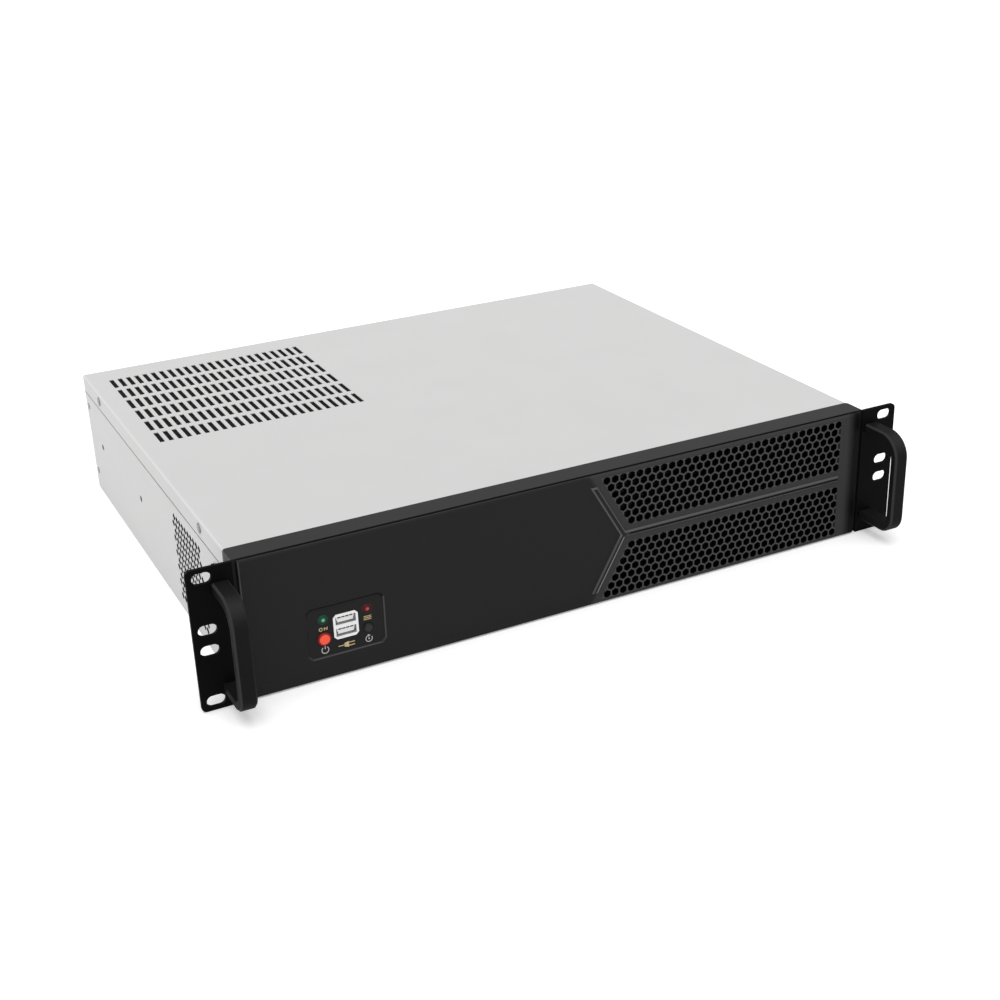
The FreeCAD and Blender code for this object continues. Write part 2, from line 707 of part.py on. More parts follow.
def arrow_ridges(body):
    """The raised arrow: two slanted arms and a bar, each with sloped sides."""
    foot_x = arrow_tip - arrow_reach * grille_slope
    half_arm = size.ridge_width / math.sqrt(3)
    for name, side in (("upper_arm", 1), ("lower_arm", -1)):
        def outline(profile, shrink, side=side):
            half = half_arm - shrink / math.cos(math.radians(30))
            end = side * (arrow_reach - shrink)
            end_x = foot_x + shrink * grille_slope
            points = [(end_x - half, end), (end_x + half, end),
                      (arrow_tip + half, 0), (arrow_tip - half, 0)]
            profile.polygon(points if side > 0 else list(reversed(points)))

        loft(body, name, "XZ", fascia_front, lambda p, o=outline: o(p, length(0)),
             fascia_front - size.ridge_height, lambda p, o=outline: o(p, size.ridge_bevel))

    def bar(profile, shrink):
        profile.rectangle(arrow_tip, ridge_end - shrink,
                          -size.ridge_width / 2 + shrink, size.ridge_width / 2 - shrink)

    loft(body, "middle_bar", "XZ", fascia_front, lambda p: bar(p, length(0)),
         fascia_front - size.ridge_height, lambda p: bar(p, size.ridge_bevel))

    def groove(profile):
        profile.rectangle(arrow_tip + size.ridge_width, ridge_end + 1,
                          -size.ridge_groove / 2, size.ridge_groove / 2)

    pocket(body, "middle_groove", "XZ", fascia_front - size.ridge_height, fascia_front, groove)


def cut_corner_outline(profile, across, up, width, height, corner):
    left, right = across - width / 2, across + width / 2
    low, high = up - height / 2, up + height / 2
    profile.polygon([
        (left + corner, low), (right - corner, low), (right, low + corner), (right, high - corner),
        (right - corner, high), (left + corner, high), (left, high - corner), (left, low + corner)])


def grille_outline(side, low, high):
    """A strip of a honeycomb field, anticlockwise; its left end follows the half steps of the rows."""
    clear = size.cell_pitch / 2 + size.grille_margin
    right = grille_left + grille_length + clear
    low_left, high_left = (grille_left - clear + (grille_outer - z) * grille_slope for z in (low, high))
    corners = [(low_left, side * low), (right, side * low), (right, side * high), (high_left, side * high)]
    return corners if side > 0 else corners[::-1]


def grille_strips(name, side):
    """A strip for each row of pointed-top holes; each row starts half a pitch after the one outside it."""
    front = fascia_front.value

    def ring(corners):
        points = [FreeCAD.Vector(length(across).value, front, length(up).value) for across, up in corners]
        return Part.makePolygon(points + points[:1])

    strips = []
    for row in range(size.grille_rows):
        z = grille_outer - row_pitch * row
        high = grille_far if row == 0 else z + row_pitch / 2
        low = grille_near if row == size.grille_rows - 1 else z - row_pitch / 2
        rings = [ring(grille_outline(side, low, high))]
        for step in range(size.grille_columns - (row + 1) // 2):
            x = grille_left + size.cell_pitch * (step + row / 2)
            rings.append(ring(standing_polygon(6, cell_radius.value, x.value, side * z.value)))
        strip = doc.addObject("Part::Feature", f"{name}_{row}")
        strip.Shape = Part.Face(rings).extrude(FreeCAD.Vector(0, -front, 0))
        strips.append(strip)
    return strips


def fascia():
    body = new_body("fascia_blank")
    plate_x = half_width - size.fascia_inset_x
    plate_z = half_height - size.fascia_inset_z

    def plate(profile):
        profile.rectangle(-plate_x, plate_x, -plate_z, plate_z)

    def neck(profile):
        profile.rectangle(-plate_x + size.groove_depth, plate_x - size.groove_depth,
                          -plate_z + size.groove_depth, plate_z - size.groove_depth)

    face = pad(body, "fascia_plate", "XZ", fascia_front, -size.groove_width, plate)
    chamfer(body, "fascia_edges", size.fascia_edge, face,
            lambda edge: close(middle(edge).y, fascia_front))
    pad(body, "fascia_neck", "XZ", -size.groove_width, length(0), neck)
    arrow_ridges(body)

    def lips(profile):
        """Two lips that slide into the ends of the bezel frame."""
        outer = half_width - size.bezel_wall - size.lip_gap
        inner = outer - size.lip_thickness
        profile.rectangle(-outer, -inner, -size.lip_height / 2, size.lip_height / 2)
        profile.rectangle(inner, outer, -size.lip_height / 2, size.lip_height / 2)

    def board_posts(profile):
        for x in (-1, 1):
            for z in (-1, 1):
                across = panel_x + (board_half_x - size.board_post_inset) * x
                up = size.panel_z + (board_half_z - size.board_post_inset) * z
                profile.rectangle(across - size.board_post / 2, across + size.board_post / 2,
                                  up - size.board_post / 2, up + size.board_post / 2)

    pad(body, "end_lips", "XZ", length(0), size.lip_depth, lips)
    pad(body, "board_posts", "XZ", length(0), size.board_front, board_posts)

    def recess(profile, shrink):
        cut_corner_outline(profile, panel_x, size.panel_z, size.panel_width - shrink * 2,
                           size.panel_height - shrink * 2, size.panel_corner)

    loft(body, "panel_recess", "XZ", fascia_front, lambda p: recess(p, length(0)),
         recess_floor, lambda p: recess(p, size.panel_bevel), "PartDesign::SubtractiveLoft")

    def panel_holes(profile):
        for x in control_xs:
            profile.circle(x, lamp_z, size.lamp_diameter + size.button_gap * 2)
        for x, diameter in zip(control_xs, (size.power_diameter, size.reset_diameter)):
            profile.circle(x, button_z, diameter + size.button_gap * 2)
        cut_corner_outline(profile, panel_x, port_z, size.port_width + size.button_gap * 2,
                           size.port_height + size.button_gap * 2, size.port_corner)

    pocket(body, "panel_holes", "XZ", fascia_front, length(1), panel_holes)

    for name, side in (("upper_window", 1), ("lower_window", -1)):
        pocket(body, name, "XZ", fascia_front, length(1),
               lambda p, side=side: p.polygon(grille_outline(side, grille_near, grille_far)))
    made = doc.addObject("Part::MultiFuse", "fascia")
    made.Shapes = [body, *grille_strips("upper_strip", 1), *grille_strips("lower_strip", -1)]
    made.Refine = False
    finish("fascia", made)


# ---------------------------------------------------------------- controls


def button(label, x, diameter):
    """A round cap, two tabs that keep it behind the fascia and a stem in front of its switch."""
    front = recess_floor - size.button_proud
    back = size.button_gap
    tab_end = back + size.button_tab_thickness
    stem_end = size.board_front - size.switch_height - size.button_travel - size.button_gap
    reach = diameter / 2 + size.button_tab
    body = new_body(label)
    cap = pad(body, label + "_cap", "XZ", front, tab_end, lambda p: p.circle(x, button_z, diameter))
    chamfer(body, label + "_edge", size.button_proud / 2, cap, lambda edge: close(middle(edge).y, front))
    pad(body, label + "_tabs", "XZ", back, tab_end,
        lambda p: p.rectangle(x - reach, x + reach,
                              button_z - size.button_stem / 2, button_z + size.button_stem / 2))
    pad(body, label + "_stem", "XZ", tab_end, stem_end,
        lambda p: p.rectangle(x - size.button_stem / 2, x + size.button_stem / 2,
                              button_z - size.button_stem / 2, button_z + size.button_stem / 2))
    finish(label, body)


def lamp(label, x):
    """A faceted lamp with a sloped front edge, standing on the control board."""
    dome = recess_floor - size.button_proud
    body = new_body(label)
    bulb = pad(body, label + "_bulb", "XZ", dome, size.board_front,
               lambda p: p.polygon(standing_polygon(LAMP_SIDES, size.lamp_diameter / 2, x, lamp_z)))
    chamfer(body, label + "_dome", size.lamp_dome, bulb, lambda edge: close(middle(edge).y, dome))
    finish(label, body)


def double_port():
    """Two stacked sockets in one metal shell; one moulded block behind them carries both tongues."""
    front = recess_floor - size.port_proud
    back = size.board_front - size.port_back
    half_x = size.socket_width / 2
    socket_zs = [port_z + size.socket_pitch / 2 * side for side in (-1, 1)]

    def sockets(profile):
        for z in socket_zs:
            profile.rectangle(panel_x - half_x, panel_x + half_x,
                              z - size.socket_height / 2, z + size.socket_height / 2)

    def rear_room(profile, gap):
        profile.rectangle(panel_x - half_x + gap, panel_x + half_x - gap,
                          socket_zs[0] - size.socket_height / 2 + gap,
                          socket_zs[1] + size.socket_height / 2 - gap)

    def tongues(profile):
        for z in socket_zs:
            profile.rectangle(panel_x - half_x + size.port_wall, panel_x + half_x - size.port_wall,
                              z, z + size.tongue_height)

    shell = new_body("usb_shell")
    pad(shell, "shell_block", "XZ", front, size.board_front,
        lambda p: cut_corner_outline(p, panel_x, port_z, size.port_width,
                                     size.port_height, size.port_corner))
    pocket(shell, "shell_sockets", "XZ", front, back, sockets)
    pocket(shell, "shell_rear_room", "XZ", back, size.board_front, lambda p: rear_room(p, length(0)))
    finish("usb_shell", shell)

    insert = new_body("usb_tongues")
    pad(insert, "insert_block", "XZ", back + size.fit_gap, size.board_front,
        lambda p: rear_room(p, size.fit_gap))
    pad(insert, "insert_tongues", "XZ", front + size.port_wall, back + size.fit_gap, tongues)
    finish("usb_tongues", insert)


def control_board():
    """The board with a switch behind each button."""
    body = new_body("control_board")

    def switches(profile):
        for x in control_xs:
            profile.rectangle(x - size.switch_width / 2, x + size.switch_width / 2,
                              button_z - size.switch_width / 2, button_z + size.switch_width / 2)

    pad(body, "board_sheet", "XZ", size.board_front, size.board_front + size.board_thickness,
        lambda p: p.rectangle(panel_x - board_half_x, panel_x + board_half_x,
                              size.panel_z - board_half_z, size.panel_z + board_half_z))
    pad(body, "board_switches", "XZ", size.board_front - size.switch_height, size.board_front, switches)
    finish("control_board", body)


# ---------------------------------------------------------------- rack ears and handles


def rack_ear(label, side):
    body = new_body(label)

    def plate(profile):
        low, high = (ear_inner_x, ear_outer_x) if side > 0 else (-ear_outer_x, -ear_inner_x)
        profile.rectangle(low, high, -half_height, half_height)

    flat = pad(body, label + "_plate", "XZ", ear_front, length(0), plate)
    fillet(body, label + "_corners", size.ear_corner, flat,
           lambda edge: runs_along(edge, 1) and close(abs(middle(edge).x), ear_outer_x))

    def leg(profile):
        low, high = (ear_inner_x, ear_inner_x + size.ear_thickness)
        if side < 0:
            low, high = -high, -low
        profile.rectangle(low, high, -size.ear_leg_height / 2, size.ear_leg_height / 2)

    pad(body, label + "_leg", "XZ", length(0), size.ear_leg, leg)
    straight = size.slot_length - size.slot_width

    def slot_middles(profile):
        for z in slot_zs:
            profile.rectangle(side * slot_x - straight / 2, side * slot_x + straight / 2,
                              z - size.slot_width / 2, z + size.slot_width / 2)

    def slot_ends(profile):
        for z in slot_zs:
            for end in (-1, 1):
                profile.circle(side * slot_x + straight / 2 * end, z, size.slot_width)

    pocket(body, label + "_slots", "XZ", ear_front, length(1), slot_middles)
    pocket(body, label + "_slot_ends", "XZ", ear_front, length(1), slot_ends)

    finish(label, body)


def handle(label, side):
    """A D-shaped strap handle: a bent strap with two arms that stand on the ear."""
    body = new_body(label)
    front = ear_front - size.handle_reach
    middle_x = side * handle_x
    low, high = middle_x - size.handle_width / 2, middle_x + size.handle_width / 2
    blank = pad(body, label + "_blank", "YZ", low, high,
                lambda p: p.rectangle(front, ear_front, handle_bottom, handle_top))
    upper = fillet(body, label + "_top_bend", size.handle_top_bend, blank,
                   lambda edge: runs_along(edge, 0) and close(middle(edge).y, front)
                   and close(middle(edge).z, handle_top))
    fillet(body, label + "_bottom_bend", size.handle_bottom_bend, upper,
           lambda edge: runs_along(edge, 0) and close(middle(edge).y, front)
           and close(middle(edge).z, handle_bottom))
    inside = front + size.handle_strap
    opening = pocket(body, label + "_opening", "YZ", low - 1, high + 1,
                     lambda p: p.rectangle(inside, ear_front + 1,
                                           handle_bottom + size.handle_arm,
                                           handle_top - size.handle_arm))
    top_in = fillet(body, label + "_top_inside", size.handle_top_bend - size.handle_strap, opening,
                    lambda edge: runs_along(edge, 0) and close(middle(edge).y, inside)
                    and middle(edge).z > 0)
    bottom_in = fillet(body, label + "_bottom_inside", size.handle_bottom_bend - size.handle_strap,
                       top_in, lambda edge: runs_along(edge, 0) and close(middle(edge).y, inside)
                       and middle(edge).z < 0)

    def outer_edge(edge):
        if isinstance(edge.Curve, Part.Circle):
            return any(close(edge.Curve.Radius, bend)
                       for bend in (size.handle_top_bend, size.handle_bottom_bend))
        spot = middle(edge)
        return not runs_along(edge, 0) and (close(spot.y, front) or close(spot.z, handle_top)
                                            or close(spot.z, handle_bottom))

    chamfer(body, label + "_edges", size.handle_edge, bottom_in, outer_edge)
    finish(label, body)


# ---------------------------------------------------------------- screws and rivets


def fasteners():
    """Heads only: shanks and threads are left out, and so are the holes that they fill."""
    sides = (("left", -1), ("right", 1))
    leg_outside = ear_inner_x + size.ear_thickness
    group("handle_screws", [
        fastener(f"handle_screw_{word}_{number}", "Y", (side * handle_x, z), 0, 1,
                 size.handle_screw_head, size.handle_screw_height)
        for word, side in sides for number, z in enumerate(handle_screw_zs)])
    group("ear_screws", [
        fastener(f"ear_screw_{word}_{number}", "X", (size.ear_screw_y, z), side * leg_outside, side,
                 size.screw_head, size.screw_head_height)
        for word, side in sides for number, z in enumerate(ear_screw_zs)])
    group("cover_screws", [
        fastener(f"cover_screw_{word}_{number}", "X", (y, cover_screw_z), side * half_width, side,
                 size.screw_head, size.cover_head_height)
        for word, side in sides for number, y in enumerate(cover_screw_ys)])
    group("side_rivets", [
        fastener(f"side_rivet_{word}_{number}", "X", (rivet_y, z), side * half_width, side,
                 size.rivet_head, size.rivet_height)
        for word, side in sides for number, z in enumerate(rivet_zs)])
    group("slot_screws", [
        fastener(f"slot_screw_{number}", "Y", (x, card_screw_z), size.case_rear, 1,
                 size.screw_head, size.screw_head_height)
        for number, x in enumerate(card_xs)])


# ---------------------------------------------------------------- the whole case

chassis_tray()
top_cover()
rear_panel()
front_plate()
slot_covers()
board_standoffs()
drive_cage()
psu_support()
bezel_frame()
fascia()
button("power_button", control_xs[0], size.power_diameter)
button("reset_button", control_xs[1], size.reset_diameter)
lamp("power_lamp", control_xs[0])
lamp("drive_lamp", control_xs[1])
double_port()
control_board()
rack_ear("rack_ear_left", -1)
rack_ear("rack_ear_right", 1)
handle("handle_left", -1)
handle("handle_right", 1)
fasteners()
doc.recompute()

for made in doc.Objects:
    if "Invalid" in made.State or "Error" in made.State:
        raise RuntimeError(f"{made.Name} failed: {made.State}")
    if made.TypeId == "PartDesign::Pocket" and made.BaseFeature.Shape.Volume - made.Shape.Volume < 1e-3:
        raise RuntimeError(f"{made.Name} cuts nothing")
for label, made in parts.items():
    if made.Shape.isNull() or not made.Shape.isValid() or made.Shape.Volume <= 0:
        raise RuntimeError(f"{label} has no valid shape")

os.makedirs("parts", exist_ok=True)
for label, made in parts.items():
    made.Shape.exportStep(f"parts/{label}.step")
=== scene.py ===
import json
import math
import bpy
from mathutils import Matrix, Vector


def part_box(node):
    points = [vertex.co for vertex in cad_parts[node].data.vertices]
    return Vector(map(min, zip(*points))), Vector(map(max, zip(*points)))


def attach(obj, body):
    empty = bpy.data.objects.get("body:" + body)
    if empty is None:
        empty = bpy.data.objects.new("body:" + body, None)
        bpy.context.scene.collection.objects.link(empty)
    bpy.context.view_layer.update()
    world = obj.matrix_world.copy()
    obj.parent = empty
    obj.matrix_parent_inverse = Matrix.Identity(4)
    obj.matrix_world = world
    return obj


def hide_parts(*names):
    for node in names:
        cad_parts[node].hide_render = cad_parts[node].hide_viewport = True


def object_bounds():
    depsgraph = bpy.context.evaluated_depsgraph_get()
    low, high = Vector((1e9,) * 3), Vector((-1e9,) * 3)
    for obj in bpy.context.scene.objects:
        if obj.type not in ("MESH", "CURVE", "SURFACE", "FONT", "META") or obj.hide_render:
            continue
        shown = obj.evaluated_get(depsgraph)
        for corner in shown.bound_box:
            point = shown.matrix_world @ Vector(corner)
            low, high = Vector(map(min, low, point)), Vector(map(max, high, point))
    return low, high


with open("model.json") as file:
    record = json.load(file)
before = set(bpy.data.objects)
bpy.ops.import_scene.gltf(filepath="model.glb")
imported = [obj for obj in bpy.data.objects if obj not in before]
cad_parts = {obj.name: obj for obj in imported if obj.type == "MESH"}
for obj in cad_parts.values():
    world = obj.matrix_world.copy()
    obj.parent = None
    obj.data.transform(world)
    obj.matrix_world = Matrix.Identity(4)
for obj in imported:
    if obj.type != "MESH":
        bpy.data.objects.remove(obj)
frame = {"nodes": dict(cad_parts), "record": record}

from types import SimpleNamespace

import bmesh
import bpy
from mathutils import Matrix, Vector

# An empty 2U rackmount server case. Lengths are in millimetres in the part's own frame: X to the
# right seen from the front, Y into the rack, Z up. Colours are linear red, green and blue, 0 to 1.

MM = 0.001
cad_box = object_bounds()
nodes = frame["nodes"]
slots = {item["node"]: item["material_slot"] for item in frame["record"]["subparts"]}
mounts = {item["name"]: item for item in frame["record"]["mounts"]}

# Levels of the black front, from the front backwards: the flat front and the panel's recess.
FRONT_Y = -3.0
RECESS_Y = -2.0

# The raised arrow: X of its tip, how far its arms reach up and down, and the distance along X
# from the middle of an arm to the edge of the arm's flat top.
ARROW_TIP = 31.5
ARROW_REACH = 36.0
ARM_EDGE = 1.21

# The honeycomb: distances between holes and between rows, from a hole's centre to its sides, and
# the first hole of the longest row, which is the top row of the upper field.
CELL_PITCH = 5.82
ROW_PITCH = 5.04
CELL_INNER = 2.165
FIRST_CELL_X = 19.75
LONGEST_ROW_Z = 38.5
GRILLE_COLUMNS = 31
GRILLE_ROWS = 7


def extent(node):
    """Lowest and highest corner of a CAD node, in millimetres."""
    low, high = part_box(node)
    return low / MM, high / MM


def middle(node):
    """X and Z of the middle of a CAD node, in millimetres."""
    low, high = extent(node)
    return (low.x + high.x) / 2, (low.z + high.z) / 2


# ---------------------------------------------------------------- shader building


def grey(level):
    """A colour without hue."""
    return (level, level, level)


def scaled(color, amount):
    """The colour made lighter or darker."""
    return tuple(channel * amount for channel in color)


def shader(name, color, roughness, metallic=0.0, specular=0.5):
    """A material whose constants sit on the shader itself; returns it with its node tree and shader."""
    made = bpy.data.materials.new(name)
    made.use_nodes = True
    tree = made.node_tree
    surface = tree.nodes["Principled BSDF"]
    surface.inputs["Base Color"].default_value = (*color, 1)
    surface.inputs["Roughness"].default_value = roughness
    surface.inputs["Metallic"].default_value = metallic
    surface.inputs["Specular IOR Level"].default_value = specular
    made.diffuse_color = (*color, 1)
    return made, tree, surface


def noise(tree, size_mm, detail=2.0):
    """A noise pattern in the part's frame, of grains about size_mm across."""
    place = tree.nodes.new("ShaderNodeTexCoord")
    grain = tree.nodes.new("ShaderNodeTexNoise")
    grain.inputs["Scale"].default_value = 1 / (size_mm * MM)
    grain.inputs["Detail"].default_value = detail
    tree.links.new(place.outputs["Object"], grain.inputs["Vector"])
    return grain.outputs["Fac"]


def ramp(tree, pattern, low, high):
    """Spreads the middle levels of a noise pattern, where most of it lies, over a range."""
    darkest, lightest = 0.3, 0.7
    mapped = tree.nodes.new("ShaderNodeMapRange")
    mapped.inputs["From Min"].default_value = darkest
    mapped.inputs["From Max"].default_value = lightest
    mapped.inputs["To Min"].default_value = low
    mapped.inputs["To Max"].default_value = high
    tree.links.new(pattern, mapped.inputs["Value"])
    return mapped.outputs["Result"]


def bump(tree, surface, pattern, depth_mm, strength):
    """Gives the surface a fine relief that follows a pattern."""
    made = tree.nodes.new("ShaderNodeBump")
    made.inputs["Strength"].default_value = strength
    made.inputs["Distance"].default_value = depth_mm * MM
    tree.links.new(pattern, made.inputs["Height"])
    tree.links.new(made.outputs["Normal"], surface.inputs["Normal"])


class Steps:
    """Builds chains of shader maths in one material; numbers and sockets both serve as inputs."""

    def __init__(self, tree):
        self.tree = tree

    def node(self, kind, **settings):
        made = self.tree.nodes.new(kind)
        for name, value in settings.items():
            setattr(made, name, value)
        return made

    def math(self, operation, *values, clamp=False):
        made = self.node("ShaderNodeMath", operation=operation, use_clamp=clamp)
        for socket, value in zip(made.inputs, values):
            if isinstance(value, (int, float)):
                socket.default_value = value
            else:
                self.tree.links.new(value, socket)
        return made.outputs["Value"]

    def times(self, first, *others, clamp=False):
        """The product of values, or the overlap of masks."""
        for other in others:
            first = self.math("MULTIPLY", first, other, clamp=clamp)
        return first

    def above(self, value, level):
        """1 where the value is greater than the level, else 0."""
        return self.math("GREATER_THAN", value, level)

    def below(self, value, level):
        """1 where the value is less than the level, else 0."""
        return self.math("LESS_THAN", value, level)

    def between(self, value, low, high):
        """1 between two levels of a value, else 0."""
        return self.times(self.above(value, low), self.below(value, high))

    def split(self, vector):
        made = self.node("ShaderNodeSeparateXYZ")
        self.tree.links.new(vector, made.inputs["Vector"])
        return [made.outputs[axis] for axis in "XYZ"]

    def place(self):
        """X, Y and Z of the shaded point, in millimetres."""
        metres = self.split(self.node("ShaderNodeTexCoord").outputs["Object"])
        return [self.math("DIVIDE", value, MM) for value in metres]

    def faces(self):
        """X, Y and Z of the direction that the face looks in."""
        return self.split(self.node("ShaderNodeNewGeometry").outputs["True Normal"])

    def slanted(self):
        """How far a face is from lying square to the part's axes: 0 when square, 1 at 45 degrees."""
        total = 0.0
        for direction in self.faces():
            total = self.math("ADD", self.math("POWER", self.math("ABSOLUTE", direction), 4.0), total)
        return self.math("MULTIPLY", self.math("SUBTRACT", 1.0, total), 2.0, clamp=True)

    def mixed(self, factor, first, second):
        """Colour from first to second; each is a colour or a socket."""
        made = self.node("ShaderNodeMix", data_type="RGBA")
        self.tree.links.new(factor, made.inputs["Factor"])
        for letter, color in (("A", first), ("B", second)):
            if isinstance(color, tuple):
                made.inputs[letter].default_value = (*color, 1)
            else:
                self.tree.links.new(color, made.inputs[letter])
        return made.outputs["Result"]

    def layered(self, color, layers):
        """The colour with layers over it; each is a mask and the colour shown there."""
        for mask, over in layers:
            color = self.mixed(mask, color, over)
        return color


def base_color(surface):
    """The socket that feeds the base colour."""
    return surface.inputs["Base Color"].links[0].from_socket


def finish_material(name, color, roughness, grain_mm, spread, depth_mm=0.01, strength=0.1,
                    cloud_mm=45.0, metallic=0.0, specular=0.5):
    """Paint, plastic or metal with slow colour drift, uneven gloss and a fine surface grain."""
    made, tree, surface = shader(name, color, roughness, metallic, specular)
    clouds = ramp(tree, noise(tree, cloud_mm, detail=3.0), 0, 1)
    drifting = Steps(tree).mixed(clouds, scaled(color, 1 - spread), scaled(color, 1 + spread))
    tree.links.new(drifting, surface.inputs["Base Color"])
    grain = noise(tree, grain_mm)
    gloss_spread = 0.12
    uneven = ramp(tree, grain, roughness * (1 - gloss_spread), roughness * (1 + gloss_spread))
    tree.links.new(uneven, surface.inputs["Roughness"])
    bump(tree, surface, grain, depth_mm, strength)
    return made, tree, surface


# ---------------------------------------------------------------- grey paint of the steel body, with painted shade and highlights


def inside_mask(steps, place, low, high):
    """1 on the inner faces of the case, which lie deeper than the sheet's skin, else 0."""
    skin = 0.5
    reaches = [steps.between(place[k], low[k] + skin, high[k] - skin) for k in range(3)]
    return steps.times(*reaches)


def rail_hole_mask(steps, y, z):
    """1 in and just round the rail holes, else 0; the ring round them carries painted shade."""
    shaded_rim = 0.55
    holes = mounts["rail_holes_left"]
    half_spacing = holes["dims"]["spacing_x_mm"] / 2
    radius = holes["dims"]["hole_r_mm"] + shaded_rim
    mask = 0.0
    for side in (-1, 1):
        hole_y = holes["pos_m"][1] / MM + side * half_spacing
        along = steps.math("SUBTRACT", y, hole_y)
        distance = steps.math("SQRT", steps.math("ADD", steps.times(along, along), steps.times(z, z)))
        mask = steps.math("MAXIMUM", steps.below(distance, radius), mask)
    return mask


def body_paint_material():
    """Light grey paint outside, with painted shade inside the case, along the seam, round the rail holes
    and, darkest, on the vent holes' walls, and a painted highlight on the bends.
    """
    # The paint, and the lighter grey of a painted highlight on the bends.
    paint, bend_highlight = (0.583, 0.583, 0.58), (0.72, 0.72, 0.717)
    # Near-black painted shade, and a darker painted shade for the walls of the side vent's holes.
    painted_shade, darkest_painted_shade = (0.035, 0.035, 0.036), grey(0.003)
    made, tree, surface = finish_material("body_paint", paint, roughness=0.42, grain_mm=0.9,
                                          spread=0.012, depth_mm=0.02, strength=0.12)
    steps = Steps(tree)
    low, high = extent("chassis_tray")
    flange_end, top = extent("top_cover")[0].z, extent("top_cover")[1].z
    sheet = 1.2
    seam_below, seam_above = 0.5, 0.3
    floor_edge, wall_end = 1.5, 2.0
    sideways = 0.5
    bend_highlight_strength = 0.8
    place = steps.place()
    x, y, z = place
    side_wall = steps.above(steps.math("ABSOLUTE", x), high.x - sheet)
    # Painted shade along the seam under the cover and, darker, on the walls of the side vent's holes.
    seam = steps.times(side_wall, steps.between(z, flange_end - seam_below, flange_end + seam_above))
    hole_wall = steps.below(steps.math("ABSOLUTE", steps.faces()[0]), sideways)
    vent_hole = steps.times(hole_wall, side_wall,
                            steps.between(z, low.z + floor_edge, flange_end - seam_below),
                            steps.between(y, low.y + wall_end, high.y - wall_end))
    # Painted shade inside the case and round the rail holes.
    inside = inside_mask(steps, place, low, Vector((high.x, high.y, top)))
    painted_shade_mask = steps.math("MAXIMUM", inside, seam)
    painted_shade_mask = steps.math("MAXIMUM", painted_shade_mask, rail_hole_mask(steps, y, z))
    # A painted highlight on slanted faces, such as the bends.
    bend_highlight_mask = steps.times(steps.slanted(), bend_highlight_strength)
    color = steps.layered(base_color(surface), [(bend_highlight_mask, bend_highlight), (painted_shade_mask, painted_shade), (vent_hole, darkest_painted_shade)])
    tree.links.new(color, surface.inputs["Base Color"])
    return made


# ---------------------------------------------------------------- black paint with painted edge highlights


def lit_side(steps):
    """How strong the painted edge highlight is, 0 to 1: most where the face looks left, less where it looks
    up.
    """
    left_share, up_share, least = -1.3, 0.6, 0.12
    x, _, z = steps.faces()
    most = steps.math("MAXIMUM", steps.times(x, left_share), steps.times(z, up_share))
    return steps.math("ADD", most, least, clamp=True)


def edged_material(name, color, edge, specular, grain_mm, depth_mm):
    """A dark finish with a painted highlight on its slanted edges, strongest on those that face left or up,
    where the light falls.
    """
    made, tree, surface = finish_material(name, color, roughness=0.6, grain_mm=grain_mm, spread=0.1,
                                          depth_mm=depth_mm, strength=0.2, specular=specular)
    steps = Steps(tree)
    # Painted highlight on the slanted edges, by the way they face the light.
    edge_highlight = steps.times(steps.slanted(), lit_side(steps))
    tree.links.new(steps.mixed(edge_highlight, base_color(surface), edge), surface.inputs["Base Color"])
    return made


# ---------------------------------------------------------------- black plastic of the front, with painted light and shade


def front_spot(steps):
    """Where a point of the front lies, which way its face looks and how it lies to the arrow."""
    x, y, z = steps.place()
    across, inward, upward = steps.faces()
    height = steps.math("ABSOLUTE", z)
    past_arrow = steps.math("SUBTRACT", steps.math("ADD", x, steps.math("DIVIDE", height, math.sqrt(3))),
                            ARROW_TIP)
    return SimpleNamespace(x=x, y=y, z=z, across=across, inward=inward, upward=upward, height=height,
                           past_arrow=past_arrow, slanted=steps.slanted())


def reach_of_cell(steps, across, up):
    """Distance from a pointed-top hole's centre, measured towards its sides."""
    lean = math.radians(60)
    leaning = steps.math("ADD", steps.times(across, math.cos(lean)), steps.times(up, math.sin(lean)))
    return steps.math("MAXIMUM", across, leaning)


def cell_webs(steps, spot):
    """0 at the rim of a honeycomb hole, rising to 1 halfway to the next hole."""
    narrowing = 1.6
    half_pitch = CELL_PITCH / 2
    across = steps.math("PINGPONG", steps.math("SUBTRACT", spot.x, FIRST_CELL_X), half_pitch)
    up = steps.math("PINGPONG", steps.math("SUBTRACT", spot.height, LONGEST_ROW_Z), ROW_PITCH)
    here = reach_of_cell(steps, across, up)
    next_row = reach_of_cell(steps, steps.math("SUBTRACT", half_pitch, across),
                             steps.math("SUBTRACT", ROW_PITCH, up))
    beyond_rim = steps.math("SUBTRACT", steps.math("MINIMUM", here, next_row), CELL_INNER)
    away = steps.math("DIVIDE", beyond_rim, half_pitch - CELL_INNER, clamp=True)
    return steps.math("POWER", away, narrowing)


def grille_mask(steps, spot):
    """1 in the two honeycomb fields, else 0."""
    margin = ROW_PITCH * 0.45
    left_limit = FIRST_CELL_X - CELL_PITCH / 2 + LONGEST_ROW_Z / math.sqrt(3) - ARROW_TIP
    right_limit = FIRST_CELL_X + CELL_PITCH * (GRILLE_COLUMNS - 1) + CELL_INNER
    shortest_row_z = LONGEST_ROW_Z - ROW_PITCH * (GRILLE_ROWS - 1)
    return steps.times(steps.above(spot.past_arrow, left_limit), steps.below(spot.x, right_limit),
                       steps.between(spot.height, shortest_row_z - margin, LONGEST_ROW_Z + margin))


